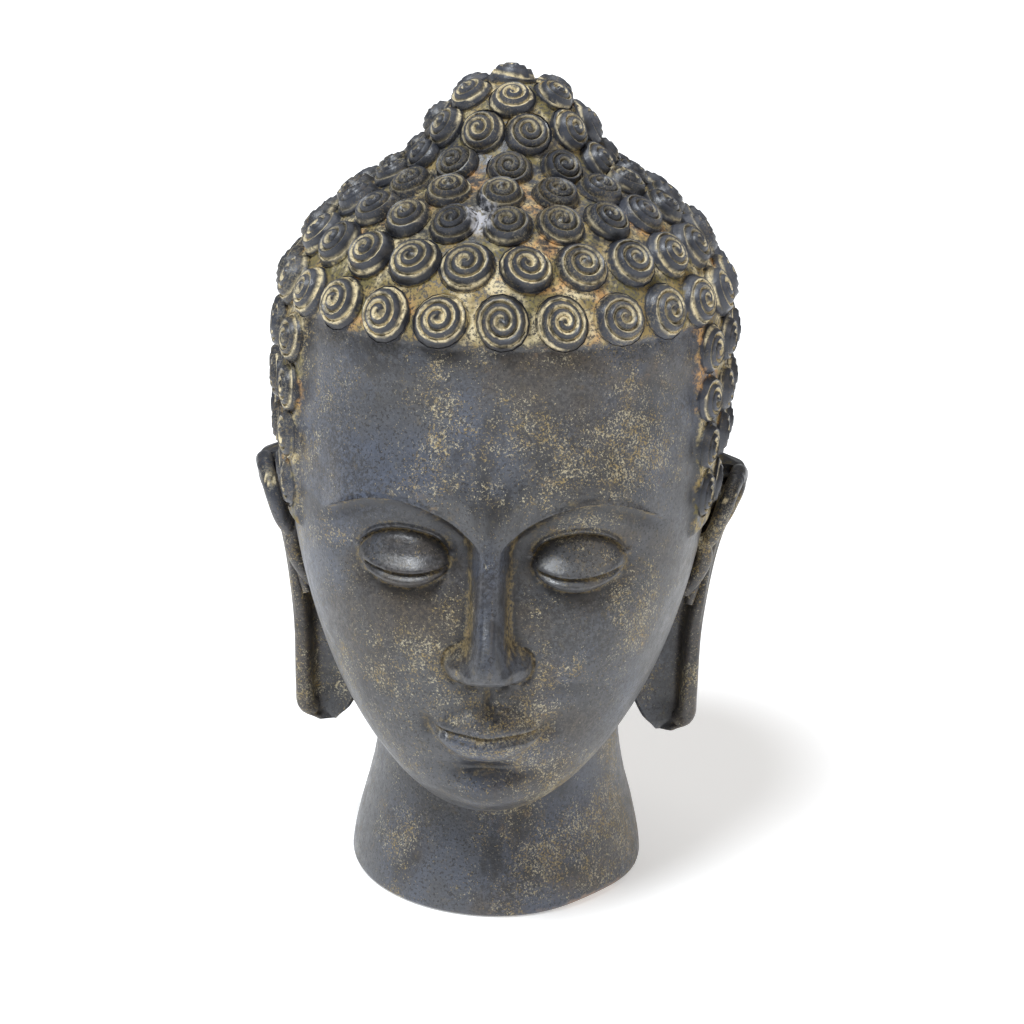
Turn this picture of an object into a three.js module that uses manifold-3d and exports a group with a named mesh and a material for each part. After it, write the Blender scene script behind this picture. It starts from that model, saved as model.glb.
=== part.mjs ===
// Buddha head, cast in one piece with its hair curls, long ears and neck.
// Millimetres. +Z is up, the face looks along -Y, and +X is to the viewer's right.
// The origin is on the flat underside of the neck, at the middle of the outline.

import * as THREE from 'three';
import { ConvexHull } from 'three/addons/math/ConvexHull.js';
import Module from 'manifold-3d';

// Driving dimensions of the skull and the face
const CHIN_Z = 105;
const HAIRLINE_Z = 505;
const WIDEST_Z = 475;
const SKULL_HALF_WIDTH = 185.5;
const SKULL_RISE = 151;
const JAW_TAPER = 2.6;
const SKULL_MIDDLE_Y = 12;
const CROWN_LEAN = 3.5;
const FACE_THIRD = (HAIRLINE_Z - CHIN_Z) / 3;
const BROW_Z = HAIRLINE_Z - FACE_THIRD;
const NOSE_BASE_Z = CHIN_Z + FACE_THIRD;
const EYE_Z = BROW_Z - 0.27 * FACE_THIRD;
const MOUTH_Z = NOSE_BASE_Z - FACE_THIRD / 3;
const EYE_HALF_WIDTH = 36;
const EYE_X = 2 * EYE_HALF_WIDTH - 2;
const NOSE_REACH = 44;
const MOUTH_HALF_WIDTH = 47;
const CHEEK_Z = 272;

// Driving dimensions of the features: how far they stand out, and how tall they are
const EYE = { slitDrop: 14, slitBow: 5.5, upper: 29, lower: 14, bulge: 18, edge: 2.8, slit: 3.4 };
const BROW = { middle: 80, half: 66, rise: 10, drop: 30, shelf: 9.5, fade: 34, hollow: 4 };
const NOSE = { wing: 19, wingX: 23, wingRise: 11.5, wingHalf: 11, wingTall: 12, base: 7 };
const LIPS = { upper: 9, lower: 11.5, bow: 20, notch: 4, below: 27, parting: 8 };

// A dimple at each end of the mouth
const MOUTH_CORNER = { x: MOUTH_HALF_WIDTH + 1, z: MOUTH_Z + 2, wide: 9, tall: 9, out: -6 };

// Soft swellings and hollows of the face, the same on both sides
const SWELLINGS = [
  { x: EYE_X - 2, z: EYE_Z + 4, wide: 50, tall: 30, out: -20 },
  { x: EYE_HALF_WIDTH, z: EYE_Z + 8, wide: 16, tall: 24, out: -9 },
  { x: 96, z: CHEEK_Z, wide: 44, tall: 44, out: 5 },
  { x: 13, z: NOSE_BASE_Z - 1, wide: 6.5, tall: 4, out: -7 },
  { x: 0, z: MOUTH_Z + 4, wide: 54, tall: 44, out: 8 },
  MOUTH_CORNER,
  { x: 0, z: CHIN_Z + 53, wide: 36, tall: 10, out: -9 },
  { x: 0, z: CHIN_Z + 27, wide: 34, tall: 22, out: 11 },
];

// Driving dimensions of the topknot, the hair and its curls
const TOPKNOT = { x: 4, y: 15, z: 597, radiusX: 72, radiusY: 74, radiusZ: 86 };
const TOPKNOT_BLEND = 23;
const HAIR_RISE = 4;
const TEMPLE_ANGLE = 59;
const SIDE_LOCK_Z = 330;
const EAR_BACK_ANGLE = 97;
const NAPE_Z = 150;
const FIRST_ROW_Z = 525;
const UPPER_ROWS = [
  { radius: 22, spacing: 47, step: 0, phase: 0.1 },
  { radius: 22, spacing: 45, step: 44, phase: 0.5 },
  { radius: 20.5, spacing: 42, step: 41, phase: 0.15 },
  { radius: 20, spacing: 42, step: 37, phase: 0 },
  { radius: 19.5, spacing: 44, step: 33, phase: 0.1 },
  { radius: 19.5, spacing: 38, step: 31, phase: 0.5 },
  { radius: 19, spacing: 41, step: 34, phase: 0.12 },
];
const APEX_RADIUS = 20;
const LOWER_ROW_STEP = 40.5;
const LOWER_ROWS = 9;
const LOWER_CURL = { radius: 21, spacing: 43 };
const UPPER_HEIGHT_SHARE = 0.6;
const LOWER_HEIGHT_SHARE = 0.44;
const LOWEST_LOCK_SHARE = 0.26;
const CURL_SHAPE = { topShare: 0.56, topRise: 0.92, topSides: 5, footSides: 7, footSink: 0.5 };

// Driving dimensions of the neck
const NECK = { x: 3, deeper: 12, top: 200 };
const NECK_BLEND = 14;
const RIM_ROUND = 5;
const RIM_WEAR = { angle: 0.75, half: 0.35, deeper: 9 };

// Driving dimensions of the ears
const EAR_TOP_Z = 362;
const EAR_BOTTOM_Z = 118;
const EAR_REACH = 215;
const EAR_TOP_SLANT = 0.33;
const EAR_RIM = [
  [176, -22, 298, 6], [185, -31, 315, 7], [192, -30, 336, 7], [199, -14, 350, 7],
  [205, 10, 354, 7.5], [207, 30, 346, 8], [200, 32, 326, 7.5], [186, 20, 292, 7],
  [177, 6, 252, 7], [171, -4, 205, 7],
];
const EAR_FLAP = [[172, -24, 308, 5], [178, -25, 292, 7], [172, -19, 272, 7], [162, -12, 252, 5]];
const BEAD_SIDES = 7;

// Spacing of the lines that the facets follow
const EYE_STEP = 1 / 6;
const BROW_STEP = 6;
const BROW_END_X = 132;
const MOUTH_STEP = 5;
const AROUND_NECK = 32;

// Point inside the head from which the whole cast surface can be seen
const HEART = new THREE.Vector3(0, -10, 380);
const FAR = 700;
const CAST_STEPS = 34;

const coat = new THREE.MeshStandardMaterial({
  color: 0x2c2d33,
  roughness: 0.55,
  metalness: 0.25,
});

function smoothstep(low, high, value) {
  const t = Math.min(1, Math.max(0, (value - low) / (high - low)));
  return t * t * (3 - 2 * t);
}

function blendUnion(a, b, width) {
  const h = Math.max(width - Math.abs(a - b), 0) / width;
  return Math.min(a, b) - h * h * width * 0.25;
}

function mound(dx, dz, halfWidth, halfHeight) {
  return Math.exp(-((dx / halfWidth) ** 2) - (dz / halfHeight) ** 2);
}

// A smooth curve through [at, value] pairs in rising order, held at its ends
function curveThrough(pairs) {
  const last = pairs.length - 1;
  const slopeOf = (i) => (pairs[i + 1][1] - pairs[i][1]) / (pairs[i + 1][0] - pairs[i][0]);
  const tangents = pairs.map((pair, i) => {
    if (i === 0 || i === last) return 0;
    const before = slopeOf(i - 1);
    const after = slopeOf(i);
    if (before * after <= 0) return 0;
    return (2 * before * after) / (before + after);
  });
  return (at) => {
    if (at <= pairs[0][0]) return pairs[0][1];
    if (at >= pairs[last][0]) return pairs[last][1];
    let i = 0;
    while (at > pairs[i + 1][0]) i += 1;
    const span = pairs[i + 1][0] - pairs[i][0];
    const t = (at - pairs[i][0]) / span;
    const rise = t * t * (3 - 2 * t);
    const lead = t * (1 - t) * (1 - t) * tangents[i] * span;
    const tail = t * t * (t - 1) * tangents[i + 1] * span;
    return pairs[i][1] + (pairs[i + 1][1] - pairs[i][1]) * rise + lead + tail;
  };
}

// Depth of the skull without its features: front, back and middle of each level
const frontY = curveThrough([
  [CHIN_Z, -146], [CHIN_Z + 4, -158], [CHIN_Z + 14, -172], [CHIN_Z + 32, -183],
  [CHIN_Z + 62, -188], [MOUTH_Z, -190], [NOSE_BASE_Z, -189], [300, -187],
  [BROW_Z, -190.5], [WIDEST_Z, -187],
]);
const backY = curveThrough([
  [CHIN_Z, -122], [CHIN_Z + 20, -20], [NAPE_Z, 108], [200, 160],
  [260, 194], [340, 214], [430, 222], [WIDEST_Z, 222],
]);
const middleY = curveThrough([
  [CHIN_Z, -134], [CHIN_Z + 20, -105], [NAPE_Z, -70], [200, -28],
  [260, -3], [340, 9], [400, SKULL_MIDDLE_Y],
]);
const squareness = curveThrough([[CHIN_Z, 2.1], [200, 2.3], [330, 2.35], [WIDEST_Z, 2]]);

function skull(x, y, z) {
  if (z <= CHIN_Z) return FAR;
  const leaned = x - CROWN_LEAN * smoothstep(380, 600, z);
  const middle = middleY(z);
  const depth = y < middle ? middle - frontY(z) : backY(z) - middle;
  const below = Math.max(0, (WIDEST_Z - z) / (WIDEST_Z - CHIN_Z));
  const half = SKULL_HALF_WIDTH * Math.sqrt(1 - below ** JAW_TAPER);
  const power = squareness(z);
  const u = Math.abs(leaned) / half;
  const v = Math.abs(y - middle) / depth;
  const w = Math.max(0, (z - WIDEST_Z) / SKULL_RISE);
  const size = (u ** power + v ** power + w ** power) ** (1 / power) + 1e-9;
  const slope = Math.hypot(
    u ** (power - 1) / half,
    v ** (power - 1) / depth,
    w ** (power - 1) / SKULL_RISE,
  );
  return (size - 1) * size ** (power - 1) / Math.max(slope, 1e-6);
}

function topknot(x, y, z) {
  const u = (x - TOPKNOT.x) / TOPKNOT.radiusX;
  const v = (y - TOPKNOT.y) / TOPKNOT.radiusY;
  const w = (z - TOPKNOT.z) / TOPKNOT.radiusZ;
  const size = Math.hypot(u, v, w) + 1e-9;
  const slope = Math.hypot(u / TOPKNOT.radiusX, v / TOPKNOT.radiusY, w / TOPKNOT.radiusZ);
  return (size - 1) * size / Math.max(slope, 1e-6);
}

// The neck widens to its rim; the rim is worn down most at its front right
const neckRadius = curveThrough([
  [0, 129], [8, 128.5], [45, 121.5], [85, 111], [120, 106], [NECK.top, 104],
]);

function neck(x, y, z) {
  const radius = neckRadius(z);
  const u = (x - NECK.x) / radius;
  const v = y / (radius + NECK.deeper);
  const size = Math.hypot(u, v) + 1e-9;
  const wall = (size - 1) * radius;
  const angle = Math.atan2(x, -y);
  const worn = RIM_ROUND + RIM_WEAR.deeper * mound(angle - RIM_WEAR.angle, 0, RIM_WEAR.half, 1);
  const edge = Math.hypot(Math.max(0, wall + worn), Math.max(0, worn - z)) - worn;
  return Math.max(wall, -z, edge, z - NECK.top);
}

// A calm, lowered eye: the slit bows down below the middle of the ball
function eyeSlitZ(across) {
  return EYE_Z - EYE.slitDrop + EYE.slitBow * across * across;
}

// 1 in the middle of the eye and 0 at its corners
function eyeInside(across) {
  return Math.max(0, 1 - 0.94 * across * across);
}

function lidHeight(across, tall) {
  return tall * (eyeInside(across) + 0.02) ** 0.62;
}

function eyeForm(x, z) {
  const across = (Math.abs(x) - EYE_X) / EYE_HALF_WIDTH;
  const inside = eyeInside(across);
  const up = z - eyeSlitZ(across);
  const lid = up / lidHeight(across, up > 0 ? EYE.upper : EYE.lower);
  const ball = EYE.bulge * Math.sqrt(Math.max(0, 1 - lid * lid)) * inside ** 0.6;
  const edge = EYE.edge * smoothstep(-0.7, 0.5, up) * (1 - smoothstep(2, 14, up));
  const slit = EYE.slit * mound(0, up + 1.6, 1, 1.7);
  return ball + (edge - slit) * smoothstep(0, 0.3, inside);
}

// The brow is a crisp edge that sweeps from the nose over the eye
function browZ(away) {
  const along = (away - BROW.middle) / BROW.half;
  return BROW_Z + BROW.rise - BROW.drop * along * along;
}

function browForm(x, z) {
  const away = Math.abs(x);
  const above = z - browZ(away);
  const ends = smoothstep(6, 22, away) * (1 - smoothstep(118, 142, away));
  const shelf = BROW.shelf * smoothstep(-1.9, 1.3, above) * Math.exp(-Math.max(0, above) / BROW.fade);
  const hollow = BROW.hollow * mound(0, above + 8, 1, 8);
  return (shelf - hollow) * ends;
}

const noseRidge = curveThrough([
  [NOSE_BASE_Z - 8, 0], [NOSE_BASE_Z - 1, 10], [NOSE_BASE_Z + 6, 29], [NOSE_BASE_Z + 14, 41],
  [NOSE_BASE_Z + 23, NOSE_REACH], [NOSE_BASE_Z + 40, 41], [300, 32], [EYE_Z, 20], [BROW_Z, 9],
  [BROW_Z + 36, 0],
]);
const noseHalfWidth = curveThrough([
  [NOSE_BASE_Z, 16], [NOSE_BASE_Z + 18, 16.5], [NOSE_BASE_Z + 40, 12], [300, 11.5],
  [EYE_Z, 12], [BROW_Z, 19], [BROW_Z + 30, 34],
]);

// A straight ridge, a base that spreads to the cheeks, and a wing on each side
function noseForm(x, z) {
  const away = Math.abs(x);
  const rise = z - NOSE_BASE_Z;
  const ridge = noseRidge(z) * Math.exp(-((away / noseHalfWidth(z)) ** 3.6) * 0.75);
  const base = NOSE.base * mound(away, rise - 22, 26, 30) * smoothstep(-2, 8, rise);
  const off = ((away - NOSE.wingX) / NOSE.wingHalf) ** 2 + ((rise - NOSE.wingRise) / NOSE.wingTall) ** 2;
  return ridge + base + NOSE.wing * Math.exp(-(off ** 1.7));
}

// Lips: a bow above the mouth line and a full, shorter lip below it
function mouthLineZ(away) {
  return MOUTH_Z - 3 + 5 * (away / MOUTH_HALF_WIDTH) ** 2 - 1.5 * mound(away, 0, 9, 1);
}

function upperLipTop(away) {
  const bow = LIPS.bow - LIPS.notch * mound(away, 0, 6, 1);
  return MOUTH_Z + bow * (1 - (away / MOUTH_HALF_WIDTH) ** 1.7);
}

function lowerLipFoot(away) {
  return MOUTH_Z - LIPS.below * (1 - (away / MOUTH_HALF_WIDTH) ** 2.2);
}

function lipForm(x, z) {
  const away = Math.abs(x);
  const line = mouthLineZ(away);
  const top = upperLipTop(away);
  const foot = lowerLipFoot(away);
  if (away >= MOUTH_HALF_WIDTH || z >= top || z <= foot) return 0;
  const share = z > line ? (z - line) / (top - line) : (line - z) / (line - foot);
  const full = z > line ? LIPS.upper : LIPS.lower;
  const start = z > line ? 0.34 : 0.28;
  const lip = full * Math.sin(Math.PI * Math.min(1, start + (1 - start) * share)) ** 0.55;
  const parting = LIPS.parting * mound(0, z - line, 1, 1.9);
  return (lip - parting) * Math.sqrt(1 - (away / MOUTH_HALF_WIDTH) ** 2);
}

function swellingForm(x, z) {
  return SWELLINGS.reduce((sum, { x: middle, z: level, wide, tall, out }) => (
    sum + out * mound(Math.abs(x) - middle, z - level, wide, tall)
  ), 0);
}

// How far the features stand out of the plain skull, towards the front
function faceRelief(x, z) {
  return eyeForm(x, z) + browForm(x, z) + noseForm(x, z) + lipForm(x, z) + swellingForm(x, z);
}

// 1 on the hair, 0 on the face, the ears' place and the neck
function hairCover(x, y, z) {
  const angle = Math.abs(THREE.MathUtils.radToDeg(Math.atan2(x, -y)));
  const top = smoothstep(HAIRLINE_Z - 1, HAIRLINE_Z + 6, z);
  const side = smoothstep(TEMPLE_ANGLE - 1.2, TEMPLE_ANGLE + 1.2, angle)
    * smoothstep(SIDE_LOCK_Z - 3, SIDE_LOCK_Z + 3, z);
  const back = smoothstep(EAR_BACK_ANGLE - 1.2, EAR_BACK_ANGLE + 1.2, angle)
    * smoothstep(NAPE_Z - 3, NAPE_Z + 3, z);
  return Math.max(top, side, back);
}

// How far the face stands out in front of the plain egg of the skull
function reliefAt(x, y, z) {
  const facing = smoothstep(-40, -110, y);
  return facing > 0 && z > CHIN_Z ? faceRelief(x, z) * facing : 0;
}

// Below 0 inside the cast head, without curls and ears
function headForm(x, y, z) {
  const dome = blendUnion(skull(x, y + reliefAt(x, y, z), z), topknot(x, y, z), TOPKNOT_BLEND);
  const body = blendUnion(dome, neck(x, y, z), NECK_BLEND);
  return body - HAIR_RISE * hairCover(x, y, z);
}

// Where the ray from the start leaves the head
function castFrom(start, direction) {
  let near = 0;
  let far = FAR;
  for (let i = 0; i < CAST_STEPS; i += 1) {
    const reach = (near + far) / 2;
    const x = start.x + direction.x * reach;
    const y = start.y + direction.y * reach;
    const z = start.z + direction.z * reach;
    if (headForm(x, y, z) < 0) near = reach;
    else far = reach;
  }
  return start.clone().addScaledVector(direction, near);
}

function castOut(direction) {
  return castFrom(HEART, direction.clone().normalize());
}

// The surface at a height and a compass angle, 0 in front, in degrees
function castLevel(angle, z) {
  const turn = THREE.MathUtils.degToRad(angle);
  const axis = new THREE.Vector3(0, z < 200 ? -5 : 5, z);
  return castFrom(axis, new THREE.Vector3(Math.sin(turn), -Math.cos(turn), 0));
}

function outwardNormal(point) {
  const step = 1.5;
  const { x, y, z } = point;
  return new THREE.Vector3(
    headForm(x + step, y, z) - headForm(x - step, y, z),
    headForm(x, y + step, z) - headForm(x, y - step, z),
    headForm(x, y, z + step) - headForm(x, y, z - step),
  ).normalize();
}

// Heights of the upper rows, stepped off along the front of the dome
function upperRowHeights() {
  const heights = [];
  let previous = castLevel(0, FIRST_ROW_Z);
  let walked = 0;
  let next = 0;
  for (const row of UPPER_ROWS) {
    next += row.step;
    let z = previous.z;
    while (walked < next) {
      z += 0.5;
      const point = castLevel(0, z);
      walked += point.distanceTo(previous);
      previous = point;
    }
    heights.push(z);
  }
  return heights;
}

// Evenly spaced points along a level, between two compass angles. A closed ring
// starts after a share of a gap; an open one ends with a share of a gap.
function spacedAlong(z, from, to, spacing, phase, closed) {
  const samples = 240;
  const line = [];
  const lengths = [0];
  for (let i = 0; i <= samples; i += 1) {
    line.push(castLevel(from + ((to - from) * i) / samples, z));
    if (i > 0) lengths.push(lengths[i - 1] + line[i].distanceTo(line[i - 1]));
  }
  const total = lengths[samples];
  const gaps = closed ? Math.round(total / spacing) : Math.round(total / spacing - phase) + phase;
  const count = closed ? gaps : Math.floor(gaps) + 1;
  const points = [];
  for (let k = 0; k < count; k += 1) {
    const at = Math.min(total, ((k + (closed ? phase : 0)) / gaps) * total);
    const i = Math.min(samples - 1, lengths.findIndex((length) => length >= at - 1e-6));
    const base = Math.max(0, i - 1);
    const share = (at - lengths[base]) / Math.max(1e-6, lengths[base + 1] - lengths[base]);
    points.push(line[base].clone().lerp(line[base + 1], Math.min(1, share)));
  }
  return points;
}

function isUnderEar(point, radius) {
  const low = point.z < EAR_TOP_Z + 0.4 * radius;
  return low && point.y > -22 - 0.5 * radius && point.y < 62 + 0.6 * radius;
}

// The locks beside the face grow flatter towards the ears
const lockHeightShare = curveThrough([
  [SIDE_LOCK_Z + 30, LOWEST_LOCK_SHARE], [WIDEST_Z - 25, LOWER_HEIGHT_SHARE],
]);

// Each curl: its place on the hair, its radius and its height
function curlPlaces() {
  const places = [];
  const heights = upperRowHeights();
  UPPER_ROWS.forEach((row, i) => {
    const ring = spacedAlong(heights[i], 0, 360, row.spacing, row.phase, true);
    ring.forEach((point) => {
      places.push({ point, radius: row.radius, height: row.radius * UPPER_HEIGHT_SHARE });
    });
  });
  const apex = castOut(new THREE.Vector3(TOPKNOT.x, TOPKNOT.y - HEART.y, 310));
  places.push({ point: apex, radius: APEX_RADIUS, height: APEX_RADIUS * UPPER_HEIGHT_SHARE });
  const { radius, spacing } = LOWER_CURL;
  for (let i = 1; i <= LOWER_ROWS; i += 1) {
    const z = FIRST_ROW_Z - i * LOWER_ROW_STEP;
    if (z < NAPE_Z + 12) break;
    const tail = (i % 2) / 2;
    const besideFace = z > SIDE_LOCK_Z + 10;
    const from = besideFace ? TEMPLE_ANGLE + 5 : EAR_BACK_ANGLE + 5;
    for (const side of [1, -1]) {
      const row = spacedAlong(z, from * side, 180 * side, spacing, tail, false);
      const sharesLast = side < 0 && tail === 0;
      (sharesLast ? row.slice(0, -1) : row).forEach((point) => {
        if (isUnderEar(point, radius)) return;
        const share = point.y < 0 ? lockHeightShare(point.z) : LOWER_HEIGHT_SHARE;
        places.push({ point, radius, height: radius * share });
      });
    }
  }
  return places;
}

// A low dome: a ring around its crown and a ring around its foot
function curlPoints({ point, radius, height }, index) {
  const up = outwardNormal(point);
  const side = new THREE.Vector3(0, 0, 1).cross(up);
  if (side.length() < 0.1) side.set(1, 0, 0);
  side.normalize();
  const along = up.clone().cross(side);
  const ring = (sides, reach) => {
    const points = [];
    for (let k = 0; k < sides; k += 1) {
      const turn = ((k + (index % 3) / 3) / sides) * 2 * Math.PI;
      points.push(point.clone()
        .addScaledVector(side, Math.cos(turn) * reach)
        .addScaledVector(along, Math.sin(turn) * reach));
    }
    return points;
  };
  const { topShare, topRise, topSides, footSides, footSink } = CURL_SHAPE;
  const rise = height * topRise;
  const crown = ring(topSides, radius * topShare).map((seat) => (
    { seat, place: seat.clone().addScaledVector(up, rise) }
  ));
  const feet = ring(footSides, radius).map((foot) => {
    const ground = castOut(directionTo(foot));
    return { seat: ground, place: ground.clone().addScaledVector(up, -footSink) };
  });
  return { crown, feet };
}

function directionTo(point) {
  return point.clone().sub(HEART).normalize();
}

// Triangles over seats that can all be seen from the heart of the head
function wrapTriangles(seats) {
  const hull = new ConvexHull().setFromPoints(seats.map(directionTo));
  const indexOf = new Map(hull.vertices.map((vertex, i) => [vertex, i]));
  const triangles = [];
  for (const face of hull.faces) {
    const corners = [];
    let edge = face.edge;
    do {
      corners.push(indexOf.get(edge.head()));
      edge = edge.next;
    } while (edge !== face.edge);
    for (let i = 1; i + 1 < corners.length; i += 1) {
      triangles.push([corners[0], corners[i], corners[i + 1]]);
    }
  }
  return triangles;
}

// The surface straight ahead of a place on the face
function faceSurface(x, z) {
  return castFrom(new THREE.Vector3(x, -60, z), new THREE.Vector3(0, -1, 0));
}

// Places [across, up] along the lines that the facets follow on the right half
function eyeLines() {
  const places = [];
  for (let across = -1; across <= 1; across += EYE_STEP) {
    const x = EYE_X + across * EYE_HALF_WIDTH;
    const slit = eyeSlitZ(across);
    const upper = lidHeight(across, EYE.upper);
    const lower = lidHeight(across, EYE.lower);
    places.push([x, slit - 1.6]);
    if (upper < 8) continue;
    places.push([x, slit + upper * 0.88], [x, slit + 4.5]);
    places.push([x, slit + upper + 1.5], [x, slit - lower - 1]);
  }
  return places;
}

function browLines() {
  const places = [];
  for (let x = 14; x <= BROW_END_X; x += BROW_STEP) places.push([x, browZ(x) + 2], [x, browZ(x) - 3.5]);
  return places;
}

function mouthLines() {
  const places = [];
  for (let x = 0; x < MOUTH_HALF_WIDTH; x += MOUTH_STEP) {
    const line = mouthLineZ(x);
    const top = upperLipTop(x);
    const foot = lowerLipFoot(x);
    if (top - foot < 11) continue;
    places.push([x, line], [x, top + 1], [x, foot - 1]);
    places.push([x, line + (top - line) * 0.5], [x, line + (foot - line) * 0.45]);
  }
  places.push([MOUTH_CORNER.x, MOUTH_CORNER.z]);
  for (let turn = -120; turn <= 120; turn += 60) {
    const angle = (turn * Math.PI) / 180;
    const { x, z, wide, tall } = MOUTH_CORNER;
    places.push([x + Math.cos(angle) * wide * 1.1, z + Math.sin(angle) * tall * 1.1]);
  }
  return places;
}

function chinLines() {
  const places = [];
  for (let x = 0; x < 44; x += 7) places.push([x, CHIN_Z + 53], [x, CHIN_Z + 43], [x + 3.5, CHIN_Z + 33]);
  return places;
}

function noseLines() {
  const places = [];
  for (let z = NOSE_BASE_Z - 8; z < BROW_Z + 10; z += 7) {
    const half = noseHalfWidth(z);
    places.push([0, z], [half * 0.75, z], [half * 1.5, z]);
  }
  for (let i = 0; i < 8; i += 1) {
    const turn = (i / 8) * 2 * Math.PI;
    for (const reach of [0.6, 1.3]) {
      const x = NOSE.wingX + Math.cos(turn) * NOSE.wingHalf * reach;
      const z = NOSE_BASE_Z + NOSE.wingRise + Math.sin(turn) * NOSE.wingTall * reach;
      if (x > 16) places.push([x, z]);
    }
  }
  return places;
}

function featureLines() {
  const places = [mouthLines, chinLines, eyeLines, browLines, noseLines].flatMap((lines) => lines());
  return places.flatMap(([x, z]) => (
    x > 0.5 ? [faceSurface(x, z), faceSurface(-x, z)] : [faceSurface(x, z)]
  ));
}

// Even grid over the face, finer around the features
function faceGrid() {
  const points = [];
  const fine = 9;
  const coarse = 18;
  for (let row = 0; row < 24; row += 1) {
    const z = 122 + row * coarse;
    if (z > HAIRLINE_Z - 6) break;
    for (let column = -10; column <= 10; column += 1) {
      const x = (column + (row % 2) * 0.5) * coarse;
      points.push([x, z]);
    }
  }
  for (let row = 0; row < 30; row += 1) {
    const z = CHIN_Z + 26 + row * fine;
    for (let column = -13; column <= 13; column += 1) {
      const x = (column + (row % 2) * 0.5) * fine;
      const byEyes = z > 300 && z < BROW_Z + 16;
      const byMouth = z > 148 && z <= 300 && Math.abs(x) < 62;
      if (byEyes || byMouth) points.push([x, z]);
    }
  }
  const inFace = ([x, z]) => {
    const half = SKULL_HALF_WIDTH * Math.sqrt(1 - ((WIDEST_Z - z) / (WIDEST_Z - CHIN_Z)) ** JAW_TAPER);
    return Math.abs(x) < Math.min(half * 0.86, 148);
  };
  const onLips = ([x, z]) => (
    Math.abs(x) < MOUTH_HALF_WIDTH && z > lowerLipFoot(Math.abs(x)) - 5 && z < upperLipTop(Math.abs(x)) + 5
  );
  const byCorner = ([x, z]) => Math.hypot(Math.abs(x) - MOUTH_CORNER.x, z - MOUTH_CORNER.z) < 16;
  return points
    .filter((place) => inFace(place) && !onLips(place) && !byCorner(place))
    .map(([x, z]) => faceSurface(x, z));
}

// Rings around the neck, under the jaw and over the bare sides of the head
function levelRings() {
  const points = [];
  const ring = (z) => {
    for (let i = 0; i < AROUND_NECK; i += 1) points.push(castLevel((i * 360) / AROUND_NECK, z));
  };
  [6, 26, 50, 74, 96].forEach(ring);
  points.push(...points.slice(0, AROUND_NECK).map(({ x, y }) => new THREE.Vector3(x * 0.94, y * 0.94, 0)));
  [112, 128, 146, 166].forEach(ring);
  for (let z = 184; z < HAIRLINE_Z; z += 20) {
    for (const side of [1, -1]) {
      for (const angle of [50, 57, 66, 75, 84, 93]) {
        points.push(castLevel(angle * side, z));
      }
    }
  }
  return points;
}

// Points that keep the edge of the hair sharp: one on the skin, one on the hair
function hairEdge() {
  const points = [];
  const pair = (angle, z, angleIn, zIn) => {
    points.push(castLevel(angle, z), castLevel(angleIn, zIn));
  };
  for (let angle = -54; angle <= 54; angle += 6) {
    pair(angle, HAIRLINE_Z - 2, angle, HAIRLINE_Z + 6);
  }
  for (const side of [1, -1]) {
    for (let z = SIDE_LOCK_Z + 8; z <= HAIRLINE_Z - 8; z += 16) {
      pair((TEMPLE_ANGLE - 1.4) * side, z, (TEMPLE_ANGLE + 1) * side, z);
    }
    for (let angle = TEMPLE_ANGLE + 4; angle < 90; angle += 7) {
      pair(angle * side, SIDE_LOCK_Z - 4, angle * side, SIDE_LOCK_Z + 3);
    }
    for (let angle = EAR_BACK_ANGLE + 5; angle <= 180; angle += 7) {
      pair(angle * side, NAPE_Z - 4, angle * side, NAPE_Z + 3);
    }
  }
  return points;
}

// Keeps the earlier of two corners that are seated too close together
function thinned(corners, gapOf, fixed = []) {
  const kept = [...fixed];
  for (const corner of corners) {
    const gap = gapOf(corner.seat);
    const crowded = kept.some((other) => other.seat.distanceToSquared(corner.seat) < gap * gap);
    if (!crowded) kept.push(corner);
  }
  return kept;
}

// The seat of a place on the skin is the same place without the relief of the face
function onSkin(place) {
  const seat = place.clone();
  seat.y += reliefAt(place.x, place.y, place.z);
  return { seat, place };
}

// Every corner of the head: where it is, and the seat below it on the plain surface
function headCorners() {
  const places = curlPlaces();
  const curls = places.map(curlPoints);
  const crowns = curls.flatMap((curl) => curl.crown);
  const isCovered = (seat, own) => places.some(({ point, radius }, i) => (
    i !== own && seat.distanceTo(point) < radius * 0.82
  ));
  const openFeet = curls.flatMap(({ feet }, own) => feet.filter(({ seat }) => !isCovered(seat, own)));
  const feet = thinned(openFeet, () => 7);
  const features = thinned(featureLines().map(onSkin), () => 3.2);
  const skin = [...levelRings(), ...faceGrid()].filter((point) => (
    hairCover(point.x, point.y, point.z) < 0.1
  ));
  const bare = [...feet, ...hairEdge().map(onSkin), ...skin.map(onSkin)];
  return [...crowns, ...thinned(bare, (seat) => (seat.z < 110 ? 4 : 5.5), features)];
}

function toSolid(wasm, points, triangles) {
  const mesh = new wasm.Mesh({
    numProp: 3,
    vertProperties: new Float32Array(points.flatMap((point) => point.toArray())),
    triVerts: new Uint32Array(triangles.flat()),
  });
  mesh.merge();
  return new wasm.Manifold(mesh);
}

function headSolid(wasm) {
  const corners = headCorners();
  const triangles = wrapTriangles(corners.map((corner) => corner.seat));
  return toSolid(wasm, corners.map((corner) => corner.place), triangles);
}

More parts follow.
